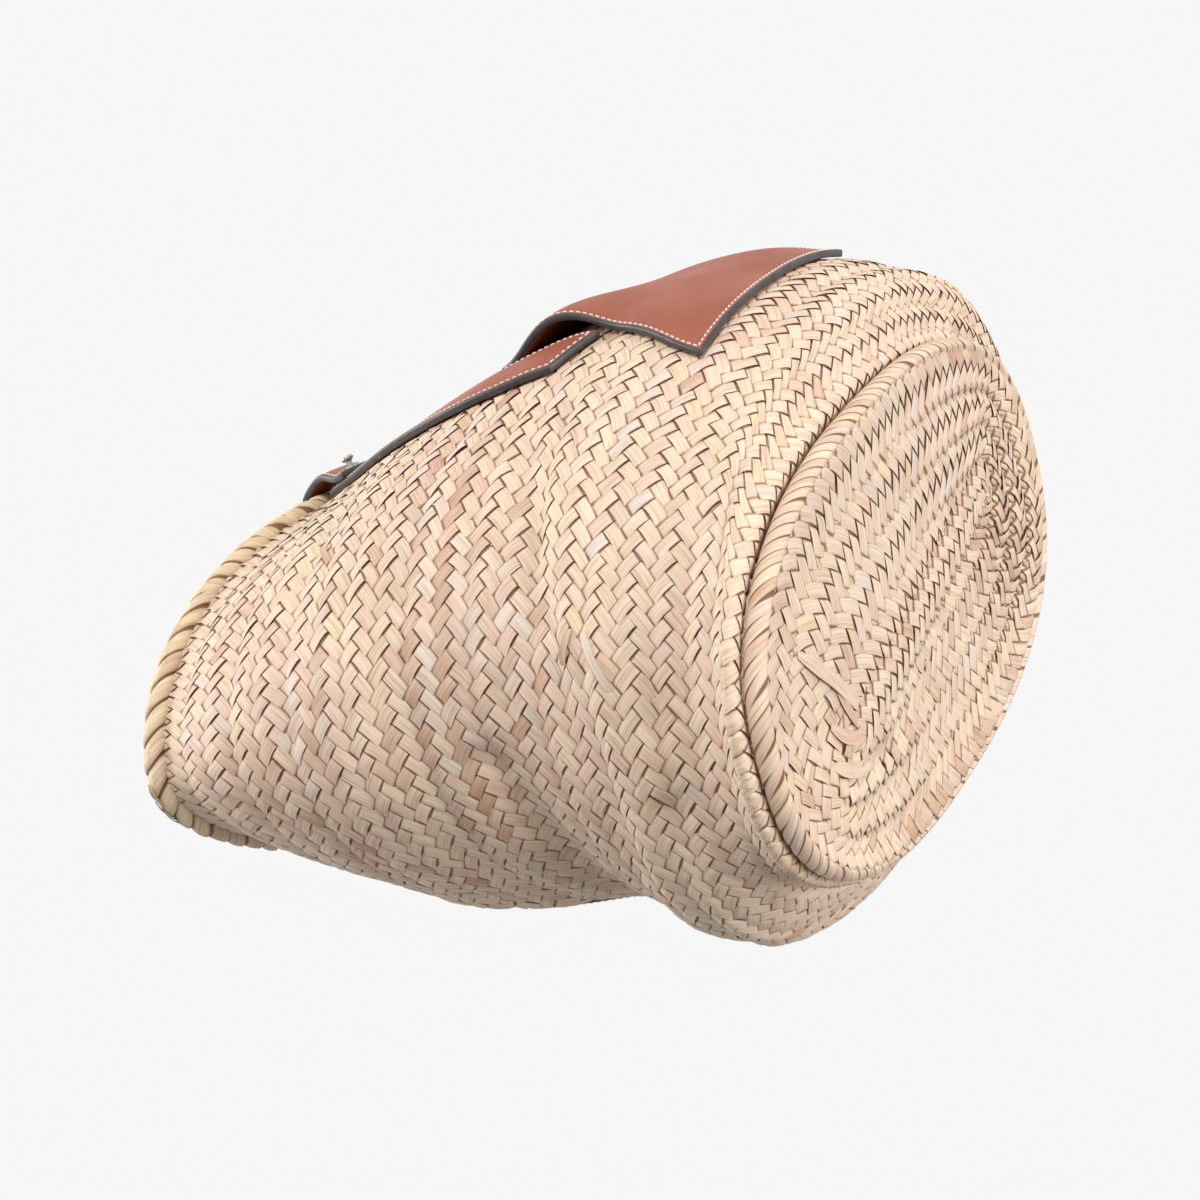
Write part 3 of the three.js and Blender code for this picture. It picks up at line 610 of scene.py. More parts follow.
def wall_loose():
    strips = []
    for number, (run, width, lift, tone, hue) in enumerate(WALL_LOOSE):
        share, height = splined(run, LOOSE_STEPS).T
        level = np.interp(height, level_heights, np.arange(LEVELS))
        spot = look_up(wall_points, level, share)
        normal = unit(look_up(wall_normals, level, share))
        sag = wall_sag(spot, share, ROWS_PER_ROUND / 2)
        rise = 0.2 + lift * np.sin(LOOSE_STEPS * math.pi) - BRAID_DEPTH + FLOAT_LIFT - sag
        strips.append(ribbon(spot + normal * rise[:, None], normal, width, tone, hue, number))
    return strips


# Base: rounds of braid between the ring's inside and the straight core

BASE_ROWS = 8
BASE_ROUND = 2  # rows
BASE_PITCH = 7.5
BASE_LEVELS = 61
BASE_DEPTH = 1.6
BASE_EDGE_DEPTH = 0.6  # beside the ring
BASE_INSET = 0.36  # of the ring's width, which the braid reaches under
BASE_SHINGLE = 0.06
BASE_DIVE = 0.75
BASE_TUCK = 0.45
BASE_WAVE = 0.8  # how much further up the uneven base lies, on average
BASE_WAVE_MOST = 2
BASE_WAVE_LENGTH = 110
BASE_SINKS = 1.8  # rows from the ring over which the base sinks to its own depth
CORE_ROWS = 2
CORE_STRETCH = 1.25  # gathers the innermost outline's points at the core's two ends
CORE_LIFT = 1.0
CORE_END_RISE = 1.6
CORE_END = 12  # long
# Worn patches, where the strands are narrower and carry painted shade: middle (x, y), half length, half
# depth, strength
WORN = ((96, 16, 34, 36, 1), (-82, 20, 13, 8, 1.2), (-64, 31, 13, 7, 1.1))
WORN_THINNER = 0.27
WORN_PAINTED_SHADE = 0.4
WORN_DEEPER = 0.6
# The rounds lie like steps from one x to another, and the other way round at the braid's start
STEPS_FROM, STEPS_TO = 10, 110
STEP = 0.12
START_X, START_Y = -66, 40
START_HALF_X, START_HALF_Y = 42, 24
START_STEP = 1.5
STEP_LIP = 1.4
BACK_SHADED, FRONT_LIT = 70, 60  # y at which the base's painted shade, darker towards the back and paler towards the front, is full
# The braid's start, beside the core's left end: runs of (x, y), width, tone and hue
BASE_LOOSE = (
    (((-109, -27), (-96, -14), (-84, -2), (-70, 13)), 5.6, 0.2, -0.4),
    (((-98, 6), (-90, 14), (-80, 19), (-68, 20)), 5.0, 0.9, -0.9),
    (((-104, 18), (-94, 25), (-82, 30), (-68, 31)), 5.4, 0.4, 0.3),
    (((-88, -8), (-84, 4), (-78, 14), (-66, 26)), 4.2, 1.9, -0.6),
    (((-78, 34), (-72, 29), (-64, 27), (-54, 29)), 4.6, 1.2, -0.2),
    (((-96, 30), (-90, 20), (-86, 10), (-80, 3)), 3.8, 1.5, -0.8),
)


def base_grid():
    """Outlines from the ring inwards, evenly stepped round each, and their girths."""
    corners = 1441
    depth = BASE_HALF_DEPTH - RING_WIDTH * BASE_INSET
    outer = oval(BASE_HALF_LENGTH - RING_WIDTH * BASE_INSET, depth, depth, BASE_SQUARENESS, corners)
    angle = np.linspace(0, 2 * math.pi, corners)[:, None]
    run = (CORE_RIGHT - CORE_LEFT) / 2
    beside = np.array([-run[1], run[0]]) / np.linalg.norm(run)
    core = (CORE_LEFT + CORE_RIGHT) / 2 + run * np.clip(CORE_STRETCH * np.sin(angle), -1, 1)
    core = core - beside * CORE_HALF * np.cos(angle)
    grid = [shared_out(outer + (core - outer) * t, SHARES)[0] for t in np.linspace(0, 1, BASE_LEVELS)]
    girths = [np.linalg.norm(np.diff(g, axis=0, append=g[:1]), axis=-1).sum() for g in grid]
    return np.array(grid), np.array(girths)


base_points, base_girths = base_grid()


def base_height(flat, up):
    """Height of the base's braid, which lies a little way up inside the ring and is uneven."""
    wavy = BASE_WAVE + BASE_WAVE * waves(flat, 6, BASE_WAVE_LENGTH, 21)
    inside = BASE_DEPTH - BASE_EDGE_DEPTH + np.clip(wavy, 0, BASE_WAVE_MOST)
    return BASE_EDGE_DEPTH + inside * smoothstep(up, 0, BASE_SINKS)


def base_worn(flat):
    """How worn the base's braid is, in patches."""
    total = np.zeros(flat.shape[:-1])
    for x, y, half_length, half_depth, strength in WORN:
        spread = ((flat[..., 0] - x) / half_length) ** 2 + ((flat[..., 1] - y) / half_depth) ** 2
        total = total + strength * np.exp(-spread)
    return np.clip(total * (1.1 + 0.9 * waves(flat, 8, 22, 33)), 0, 1)


def above_floor(flat, z, least):
    return np.concatenate([flat, np.maximum(z, least)[..., None]], axis=-1)


def base_round(first):
    """One round of the base's braid, whose rounds overlap like steps at both ends."""
    middle = (first + BASE_ROUND / 2) / BASE_ROWS
    girth = np.interp(middle, np.linspace(0, 1, BASE_LEVELS), base_girths)
    floats = int(round(girth / BASE_PITCH))
    plaited = plait(floats, first, first + BASE_ROUND, BASE_TUCK, rng, BASE_SHINGLE, first, BASE_DIVE)
    up = plaited["up"]
    flat = look_up(base_points, up / BASE_ROWS * (BASE_LEVELS - 1), plaited["around"] / floats)
    spine = flat[:, :, 2:3]
    worn = base_worn(spine)
    flat = spine + (flat - spine) * (1 - WORN_THINNER * worn)[..., None]
    x, y = flat[..., 0], flat[..., 1]
    # Painted shade and light: the base's tone darkens towards the back and pales towards the front
    painted_shade_to_back = smoothstep(y, 0, BACK_SHADED) - 0.8 * smoothstep(-y, 0, FRONT_LIT)
    # Painted shade in the worn patches' gaps
    plaited["leaf_painted_shade"] = np.maximum(plaited["leaf_painted_shade"], WORN_PAINTED_SHADE * worn)
    plaited["leaf_tone"] = plaited["leaf_tone"] + 0.6 * painted_shade_to_back
    far = smoothstep(x, STEPS_FROM, STEPS_TO)
    start = np.exp(-(((x - START_X) / START_HALF_X) ** 2) - ((y - START_Y) / START_HALF_Y) ** 2)
    off_middle = up - first - BASE_ROUND / 2
    terrace = (STEP + far - START_STEP * start) * off_middle
    lip = STEP_LIP * smoothstep(np.abs(off_middle), 1.0, 1.3) * (far + start)
    z = base_height(flat, up) - plaited["depth"] * (1 + WORN_DEEPER * worn) - terrace + lip
    plaited["points"] = above_floor(flat, z, 0.1)
    return plaited


def core_strip():
    """The straight start of the braid, over the line where the rounds meet."""
    ahead = unit(CORE_RIGHT - CORE_LEFT)
    beside = np.array([-ahead[1], ahead[0]])
    floats = int(np.linalg.norm(CORE_RIGHT - CORE_LEFT) / PITCH) + 1
    plaited = plait(floats, 0, CORE_ROWS, 0.3, rng)
    along, over = plaited["around"] * PITCH, (plaited["up"] - CORE_ROWS / 2) * PITCH
    flat = CORE_LEFT + ahead * along[..., None] + beside * over[..., None]
    ends = smoothstep(6 - along, 0, CORE_END) + smoothstep(along - floats * PITCH + 2, 0, CORE_END)
    middle = base_height(flat, np.full(flat.shape[:-1], BASE_ROWS))
    z = middle - CORE_LIFT + CORE_END_RISE * ends - plaited["depth"]
    plaited["points"] = above_floor(flat, z, 0.1)
    return plaited


def base_loose():
    strips = []
    for number, (run, width, tone, hue) in enumerate(BASE_LOOSE):
        flat = splined(run, LOOSE_STEPS)
        middle = base_height(flat, np.full(len(flat), BASE_ROWS))
        bulge = 0.9 * np.sin(LOOSE_STEPS * math.pi)
        z = middle - FLOAT_LIFT - 0.3 - bulge + 0.5 * LOOSE_STEPS + 0.12 * number
        line = above_floor(flat, z, 0.15)
        strips.append(ribbon(line, np.broadcast_to(-UP, line.shape), width, tone, hue, 40 + number))
    return strips


# Ring and rope: leaf wound round a core, each wrap laid over the one before it

WRAP_COLUMNS = (0.0, 0.035, 0.1, 0.28, 0.5, 0.7, 0.86, 0.965)
WRAP_HEIGHTS = (-0.7, 0.2, 0.75, 1.0, 0.95, 0.55, -0.05, -0.7)  # shares of a wrap's swell
WRAP_SHADE = (1.0, 0.45, 0.0, 0.0, 0.0, 0.1, 0.35, 0.9)  # painted shade along a wrap's edges, where it tucks under its neighbours
WRAP_SIDES = 36
WRAP_UNEVEN = 0.35
WRAP_LIFT = (0.4, 1.8)  # least and most of the swell
WRAP_DRIFT = 0.12  # of a wrap, along the path
WRAP_APART = 5.7  # in the leaf's own texture


def rounded(corners, count):
    """Evenly spaced points on a closed smooth curve through its corners, and its length."""
    corners = np.asarray(corners, float)
    tail = np.concatenate([corners[-2:], corners, corners[:3]])
    steps = 40
    line = splined(tail, np.linspace(0, 1, steps * (len(tail) - 1) + 1))
    return shared_out(line[2 * steps : (2 + len(corners)) * steps + 1], count)


def wound(name, path, corners, wraps, slant, swell, material):
    """Leaf wound round a closed path; its section is (outward, up) corners about the path."""
    sides = WRAP_SIDES
    section, length = rounded(corners, sides)
    tangent = np.roll(section, -1, axis=0) - np.roll(section, 1, axis=0)
    away = unit(np.stack([tangent[:, 1], -tangent[:, 0]], axis=-1))
    away = away * np.sign((away * (section - section.mean(axis=0))).sum())
    columns = len(WRAP_COLUMNS)
    number = np.repeat(np.arange(wraps), columns)
    inside = np.tile(WRAP_COLUMNS, wraps)
    uneven = 1 + WRAP_UNEVEN * rng.normal(0, 1, wraps)[number]
    lift = swell * np.tile(WRAP_HEIGHTS, wraps) * np.clip(uneven, *WRAP_LIFT)
    drift = WRAP_DRIFT * rng.normal(0, 1, wraps)[number]
    turn = np.arange(sides) / sides
    place = (number + inside)[:, None] + slant * turn
    middle, outward = path((place + drift[:, None] * np.sin(turn * 2 * math.pi)) / wraps)
    shown = section[None] + away[None] * lift[:, None, None]
    points = middle + outward * shown[..., :1] + UP * shown[..., 1:]
    count = wraps * columns
    cells = (grid_faces(count + 1, sides) % (count * sides)).reshape(-1, 4)
    first = np.arange(count) * sides
    last = first + sides - 1
    joined = np.roll(first, -slant * columns)
    closing = np.stack([last, joined, np.roll(joined, -1), np.roll(last, -1)], axis=-1)
    made = mesh_object(name, points.reshape(-1, 3), np.concatenate([cells, closing]))
    leaf_tone, leaf_hue = rng.normal(0, 1, (2, wraps))
    spread = np.ones((count, sides))
    own = (turn * length, (inside[:, None] - 0.5) * 0.8 * STRAND, number[:, None] * WRAP_APART)
    give(made, "leaf_place", np.stack([part * spread for part in own], axis=-1).reshape(-1, 3))
    give(made, "leaf_tone", (leaf_tone[number][:, None] * spread).ravel())
    give(made, "leaf_hue", (leaf_hue[number][:, None] * spread).ravel())
    # Painted shade at each wrap's edges
    give(made, "leaf_painted_shade", (np.tile(WRAP_SHADE, wraps)[:, None] * spread).ravel())
    made.data.materials.append(material)
    return made


# The ring's section, a folded ridge, about the middle of its width and of its height
RING_SECTION = (
    (-5.2, 0.8), (-4.2, -1.0), (-2.2, -2.2), (0.2, -3.3), (2.2, -4.3), (4.2, -3.1),
    (5.2, -0.6), (4.9, 2.0), (2.9, 4.0), (-1.2, 4.3), (-4.2, 3.2),
)  # fmt: skip
RING_WRAPS = 118
RING_SLANT = -5
RING_SWELL = 0.13
ROPE_PITCH = 11
ROPE_SLANT = -2
ROPE_SWELL = 0.6
ROPE_SHRINK = 1.2


def ring(material):
    steps = 2880
    half_depth = BASE_HALF_DEPTH - RING_WIDTH / 2
    sizes = (BASE_HALF_LENGTH - RING_WIDTH / 2, half_depth, half_depth, BASE_SQUARENESS)
    flat = shared_out(oval(*sizes), steps)[0]
    line = np.concatenate([flat, np.full((steps, 1), RING_HEIGHT / 2)], axis=-1)
    ahead = unit(np.roll(line, -4, axis=0) - np.roll(line, 4, axis=0))
    outward = np.cross(ahead, UP)

    def at(part, wanted):
        columns = [np.interp(wanted, np.arange(steps), column, period=steps) for column in part.T]
        return np.stack(columns, axis=-1)

    def path(share):
        wanted = np.mod(share, 1) * steps
        return at(line, wanted), at(outward, wanted)

    return wound("ring_overcast", path, RING_SECTION, RING_WRAPS, RING_SLANT, RING_SWELL, material)


def rope_line(side, along):
    """The rope's middle and the level outward direction there."""
    spot, normal = wall_spot(side, along, MOUTH_HEIGHT)
    outward = unit(normal * np.array([1, 1, 0]))
    point = spot - outward * WALL_THICKNESS / 2
    point[..., 2] = MOUTH_HEIGHT + SEAT_GAP + ROPE_RADIUS
    return point, outward


def rope(material):
    girth = level_girths[-1]
    angles = np.arange(12) / 12 * 2 * math.pi
    section = np.stack([np.cos(angles), np.sin(angles)], axis=-1) * (ROPE_RADIUS - ROPE_SHRINK)

    def path(share):
        return rope_line(FRONT, share * girth)

    return wound("rim_overcast", path, section, int(girth / ROPE_PITCH), ROPE_SLANT, ROPE_SWELL, material)


# The rope's cut end, frayed: runs of (distance along the rim, turn about the rope), width, tone
FRAYED = (
    ((590, 18), (582, 8), 2.4, 1.8),
    ((588, 40), (580, 34), 2.2, 2.6),
    ((585, 2), (578, -6), 1.8, 2.0),
    ((583, 26), (575, 18), 2.6, 3.0),
    ((581, 50), (572, 44), 2.2, 1.6),
    ((578, 10), (570, 2), 2.0, 2.6),
    ((575, 32), (567, 26), 2.4, 2.2),
)


def frayed_end():
    strips = []
    for number, (start, stop, width, tone) in enumerate(FRAYED):
        t = np.linspace(0, 1, 9)
        point, outward = rope_line(FRONT, start[0] + (stop[0] - start[0]) * t)
        turn = np.radians(start[1] + (stop[1] - start[1]) * t)[:, None]
        direction = outward * np.cos(turn) + UP * np.sin(turn)
        lift = (ROPE_RADIUS - ROPE_SHRINK + ROPE_SWELL + 0.35 - 1.1 * t**2)[:, None]
        strips.append(ribbon(point + direction * lift, direction, width, tone, 0.3, 70 + number))
    return strips


# Leather: slabs with rounded, painted edges and a stitch line

EDGE_ROUND = 0.8
STITCH_LENGTH = 2.1
STITCH_STEP = 3.0
STITCH_WIDTH = 0.75
STITCH_HEIGHT = 0.36
STITCH_INSET = 2.0
STITCH_PROFILE = ((-0.5, 0.25), (-0.36, 0.85), (0, 1.0), (0.36, 0.85), (0.5, 0.25))
STITCH_SIDES = 6
STITCH_CAPS = ((5, 4, 3, 2), (5, 2, 1, 0), (24, 25, 26, 27), (24, 27, 28, 29))


def slab(name, outer, inner, materials):
    """A slab between two grids of points; its side faces take the second material."""
    rows, columns = outer.shape[:2]
    cells = grid_faces(rows, columns)
    count = rows * columns
    top = np.arange(count).reshape(rows, columns)
    border = np.concatenate([top[0, :-1], top[:-1, -1], top[-1, :0:-1], top[:0:-1, 0]])
    after = np.roll(border, -1)
    sides = np.stack([after, border, border + count, after + count], axis=-1)
    points = np.concatenate([outer.reshape(-1, 3), inner.reshape(-1, 3)])
    made = mesh_object(name, points, np.concatenate([cells, cells[:, ::-1] + count, sides]))
    for material in materials:
        made.data.materials.append(material)
    which = np.zeros(len(cells) * 2 + len(sides), np.int32)
    which[len(cells) * 2 :] = 1
    made.data.polygons.foreach_set("material_index", which)
    soften(made)
    return made


def soften(piece):
    """Rounds the sharp edges and applies it, so the mesh is final."""
    bevel = piece.modifiers.new("round", "BEVEL")
    bevel.width = EDGE_ROUND * MM
    bevel.segments = 3
    bevel.limit_method = "ANGLE"
    bevel.angle_limit = math.radians(50)
    bevel.material = 1
    bevel.harden_normals = False
    graph = bpy.context.evaluated_depsgraph_get()
    graph.update()
    evaluated = piece.evaluated_get(graph)
    final = bpy.data.meshes.new_from_object(evaluated, preserve_all_data_layers=True, depsgraph=graph)
    old = piece.data
    piece.modifiers.clear()
    piece.data = final
    bpy.data.meshes.remove(old)
    final.name = piece.name


def stitches(name, surface, path, thread):
    """Small raised stitches along a path of (u, v) spots; surface gives points and normals."""
    reached = distances(surface(path)[0])
    count = int(reached[-1] / STITCH_STEP)
    starts = (np.arange(count) + 0.5) / count * reached[-1]

    def at(distance):
        return surface(np.stack([np.interp(distance, reached, column) for column in path.T], axis=-1))

    here, normal = at(starts)
    ahead = unit(at(starts + 0.6)[0] - at(starts - 0.6)[0])
    beside = unit(np.cross(normal, ahead))
    angle = (np.arange(STITCH_SIDES) / STITCH_SIDES * 2 * math.pi)[:, None]
    girth = beside[:, None] * np.cos(angle) * STITCH_WIDTH / 2
    girth = girth + normal[:, None] * np.sin(angle) * STITCH_HEIGHT
    rings = []
    for reach, swell in STITCH_PROFILE:
        sunk = 0.1 - 0.25 * (reach * 2) ** 4
        centre = here + ahead * reach * STITCH_LENGTH + normal * sunk
        rings.append(centre[:, None] + girth * swell)
    points = np.stack(rings, axis=1)
    cells = np.concatenate([grid_faces(len(STITCH_PROFILE), STITCH_SIDES, wrap=True), STITCH_CAPS])
    offsets = np.arange(count)[:, None, None] * len(STITCH_PROFILE) * STITCH_SIDES
    made = mesh_object(name, points.reshape(-1, 3), (cells[None] + offsets).reshape(-1, 4))
    made.data.materials.append(thread)
    return made


def dense(corners, steps):
    """Points along straight runs between corners."""
    corners = np.asarray(corners, float)
    share = np.linspace(0, 1, steps, endpoint=False)[:, None]
    return np.concatenate([*[a + (b - a) * share for a, b in zip(corners, corners[1:])], corners[-1:]])


def on_wall_leather(names, side, along, height, lift, route, materials):
    """A slab over grids of along and height, lifted off the wall, and its stitches."""
    spot, normal = wall_spot(side, along, height)
    low = lift(along, height)[..., None]
    made = slab(names[0], spot + normal * (low + LEATHER_THICKNESS), spot + normal * low, materials)

    def surface(spots):
        at, out = wall_spot(side, spots[:, 0], spots[:, 1])
        return at + out * (lift(spots[:, 0], spots[:, 1]) + LEATHER_THICKNESS)[:, None], out

    return made, stitches(names[1], surface, route, materials[2])


def patch_lift(along, height):
    """The slack patch stands off the wall towards one side."""
    sideways = smoothstep(-along, 0, PATCH_WIDTH / 2)
    upward = np.clip((height - PATCH_LIFT_FROM) / (PATCH_TOP - PATCH_LIFT_FROM), 0, 1)
    return SEAT_GAP + PATCH_LIFT * sideways * np.sin(upward * math.pi) ** 2


def patch(materials):
    across = np.linspace(-PATCH_WIDTH / 2, PATCH_WIDTH / 2, 71)
    along, height = np.meshgrid(across, np.linspace(PATCH_BOTTOM, PATCH_TOP, 51))
    half, low, high = PATCH_WIDTH / 2 - STITCH_INSET, PATCH_BOTTOM + STITCH_INSET, PATCH_TOP - STITCH_INSET
    route = dense([(-half, low), (half, low), (half, high), (-half, high), (-half, low)], 40)
    return on_wall_leather(("patch", "patch_stitches"), FRONT, along, height, patch_lift, route, materials)


def strap_lift(along, height):
    return SEAT_GAP + 0 * height


def strap_tip(hand, along):
    """Height of a strap's slanted lower end."""
    return STRAP_TIP + STRAP_TIP_SLANT * (hand * along - STRAP_ALONG + STRAP_WIDTH / 2) / STRAP_WIDTH


def strap(name, side, hand, materials):
    middle = hand * STRAP_ALONG
    along = middle + np.linspace(-1, 1, 13) * STRAP_WIDTH / 2
    tip = strap_tip(hand, along)
    height = tip + (STRAP_TOP - tip) * np.linspace(0, 1, 80)[:, None]
    left, right = middle - STRAP_WIDTH / 2 + STITCH_INSET, middle + STRAP_WIDTH / 2 - STITCH_INSET
    top = STRAP_TOP - STITCH_INSET
    low_left, low_right = (strap_tip(hand, at) + STITCH_INSET for at in (left, right))
    route = dense([(left, top), (left, low_left), (right, low_right), (right, top)], 60)
    names = (f"strap_{name}_leather", f"strap_{name}_stitches")
    return on_wall_leather(names, side, along + 0 * height, height, strap_lift, route, materials)


# Handles: from the buttoned end over the rope, down inside and round to the other end

HANDLE_SMOOTHING = 4
END_SEAT = 2 * SEAT_GAP + LEATHER_THICKNESS * 1.5
GRIP_STARTS = 2.2 / 36


def hinge_frame(side):
    left = rope_line(side, np.array(-STRAP_ALONG))[0]
    right = rope_line(side, np.array(STRAP_ALONG))[0]
    across = unit(right - left)
    return across, np.cross(across, UP) * -side, (left + right) / 2 + UP * HINGE_RISE


def end_rows(side, hand, columns):
    """Middle line rows and their outward directions, from the tip over the rope, for each column."""
    along = hand * STRAP_ALONG + columns
    rows, outs = [], []
    for height in np.linspace(END_TIP, END_FREE_FROM, 7):
        spot, normal = wall_spot(side, along, height)
        rows.append(spot + normal * END_SEAT)
        outs.append(normal)
    middle, outward = rope_line(side, along)
    start, lean = rows[-1], outs[-1]
    landing = middle + (outward * math.cos(END_LANDS) + UP * math.sin(END_LANDS)) * OVER_ROPE
    reach = END_REACH * np.linalg.norm(landing - start, axis=-1, keepdims=True)
    leaving = unit(rows[-1] - rows[-2]) * math.cos(END_LEAVES) + lean * math.sin(END_LEAVES)
    landing_way = UP * math.cos(END_LANDS) - outward * math.sin(END_LANDS)
    for share in np.arange(1, 10) / 10:
        eased = share * share * (3 - 2 * share)
        bend = leaving * share * (1 - share) ** 2 - landing_way * share * share * (1 - share)
        rows.append(start + (landing - start) * eased + bend * reach)
        outs.append(unit(lean + (outward - lean) * share))
    for angle in np.linspace(END_LANDS, math.pi, 11):
        direction = outward * math.cos(angle) + UP * math.sin(angle)
        rows.append(middle + direction * OVER_ROPE)
        outs.append(direction)
    return rows, outs


def grip_rows(side, columns):
    """The part that hangs inside the mouth, turning edge-on towards the grip."""
    across, outward, middle = hinge_frame(side)
    rise = unit(UP + outward * LEAN[side])
    broadside = np.cross(across, rise) * -side
    bend = HANDLE_DROP - HANDLE_LEG
    ends = []
    for hand in (-1, 1):
        point, out = rope_line(side, np.array(hand * STRAP_ALONG))
        start = point - out * OVER_ROPE - middle
        ends.append((start @ outward, abs(start @ across), math.asin(hand * (out @ across))))
    rows, outs = [], []
    (left_depth, left_reach, left_turn), (right_depth, right_reach, right_turn) = ends
    mean_reach = (left_reach + right_reach) / 2
    for share in np.linspace(GRIP_STARTS, 1 - GRIP_STARTS, 88):
        leg = min(share, 1 - share, LEG_SHARE) / LEG_SHARE
        turned = min(max((share - LEG_SHARE) / (1 - 2 * LEG_SHARE), 0), 1) * math.pi
        over, bow = (1 - math.cos(turned)) / 2, math.sin(turned)
        sideways = -left_reach + (right_reach + left_reach) * over
        depth = left_depth + (right_depth - left_depth) * over
        spot = middle + across * sideways + outward * depth - UP * HINGE_CUT_RADIUS
        spot = spot - rise * (HANDLE_LEG * leg + bend * bow)
        ahead = unit(across * mean_reach * bow - rise * bend * math.cos(turned))
        in_plane = np.cross(ahead, broadside) * -side
        start_turn = left_turn if share < 0.5 else right_turn
        twist = start_turn + (math.pi / 2 - start_turn) * bow**2
        width = in_plane * math.cos(twist) + broadside * math.sin(twist)
        rows.append(spot - width * columns[:, None])
        outs.append(np.broadcast_to(unit(np.cross(ahead, width)) * -side, rows[-1].shape))
    return rows, outs


def handle_surface(side):
    """Rows of middle points and of the show side's directions, tip to tip."""
    columns = np.linspace(-STRAP_WIDTH / 2, STRAP_WIDTH / 2, 13)
    left_rows, left_outs = end_rows(side, -1, columns)
    right_rows, right_outs = (np.array(part)[::-1, ::-1] for part in end_rows(side, 1, columns))
    rows, outs = grip_rows(side, columns)
    outs = [-out for out in outs] if np.mean(outs[0] * left_outs[-1]) < 0 else outs
    middle = np.array([*left_rows, *rows, *right_rows])
    out = np.array([*left_outs, *outs, *right_outs])
    for _ in range(HANDLE_SMOOTHING):
        middle[1:-1] = (middle[:-2] + 2 * middle[1:-1] + middle[2:]) / 4
    square = unit(np.cross(np.gradient(middle, axis=1), np.gradient(middle, axis=0)))
    return middle, square * np.sign((square * out).sum(-1, keepdims=True))


def handle(name, side, materials):
    middle, out = handle_surface(side)
    thick = out * LEATHER_THICKNESS / 2
    made = slab(f"{name}_strap", middle + thick, middle - thick, materials)
    count, width = middle.shape[:2]

    def surface(spots):
        share = (spots[:, 0] / STRAP_WIDTH + 0.5) * (width - 1) / width
        return look_up(middle + thick, spots[:, 1], share), unit(look_up(out, spots[:, 1], share))

    edge, end = STRAP_WIDTH / 2 - STITCH_INSET, count - 2.0
    route = dense([(-edge, 1.0), (-edge, end), (edge, end), (edge, 1.0), (-edge, 1.0)], 260)
    thread = stitches(f"{name}_stitches", surface, route, materials[2])
    _, outward, hinge = hinge_frame(side)
    for piece in (made, thread):
        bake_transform(piece)
    return made


# Materials

PALE = (0.81, 0.64, 0.49)
PINK = (0.79, 0.57, 0.45)
WARM = (0.83, 0.66, 0.46)
COOL = (0.765, 0.645, 0.545)
BROWN = (0.52, 0.3, 0.19)
ROPE_PALE = (0.84, 0.67, 0.46)
ROPE_WARM = (0.865, 0.69, 0.42)


class Recipe:
    """The nodes of a material or world, and short ways to add to them."""

    def __init__(self, owner):
        owner.use_nodes = True
        self.owner, self.nodes, self.links = owner, owner.node_tree.nodes, owner.node_tree.links

    def feed(self, socket, value):
        """Links a socket, or gives it a number, a vector or a colour."""
        if isinstance(value, bpy.types.NodeSocket):
            self.links.new(value, socket)
        else:
            socket.default_value = (*value, 1) if socket.type == "RGBA" else value

    def add(self, kind, inputs, output=0, **settings):
        made = self.nodes.new("ShaderNode" + kind)
        for key, value in settings.items():
            setattr(made, key, value)
        for key, value in inputs.items():
            self.feed(made.inputs[key], value)
        return made.outputs[output]

    def ramp(self, source, *stops):
        """A colour ramp; a stop's colour may be one number for a grey."""
        made = self.nodes.new("ShaderNodeValToRGB")
        while len(made.color_ramp.elements) < len(stops):
            made.color_ramp.elements.new(0.5)
        for element, (place, colour) in zip(made.color_ramp.elements, stops):
            element.position = place
            element.color = (*(colour if isinstance(colour, tuple) else (colour,) * 3), 1)
        self.links.new(source, made.inputs[0])
        return made.outputs[0]

    def maths(self, operation, *values):
        return self.add("Math", dict(enumerate(values)), operation=operation)

    def mix(self, kind, share, low, high):
        return self.add("Mix", {0: share, 6: low, 7: high}, 2, data_type="RGBA", blend_type=kind)

    def noise(self, vector, scale, detail=3.0, roughness=0.5):
        inputs = {"Vector": vector, "Scale": scale, "Detail": detail, "Roughness": roughness}
        return self.add("TexNoise", inputs, "Fac")

    def stretched(self, vector, scale):
        return self.add("VectorMath", {0: vector, 1: scale}, operation="MULTIPLY")

    def shader(self, inputs, height=None, strength=0, distance=0):
        """Feeds the surface shader, with a bump where a height is given; returns the material."""
        if height is not None:
            bumped = {"Strength": strength, "Distance": distance, "Height": height}
            inputs = {**inputs, "Normal": self.add("Bump", bumped)}
        for key, value in inputs.items():
            self.feed(self.nodes["Principled BSDF"].inputs[key], value)
        return self.owner


def material_recipe(name):
    made = Recipe(bpy.data.materials.new(name))
    return made, made.add("TexCoord", {}, "Object")


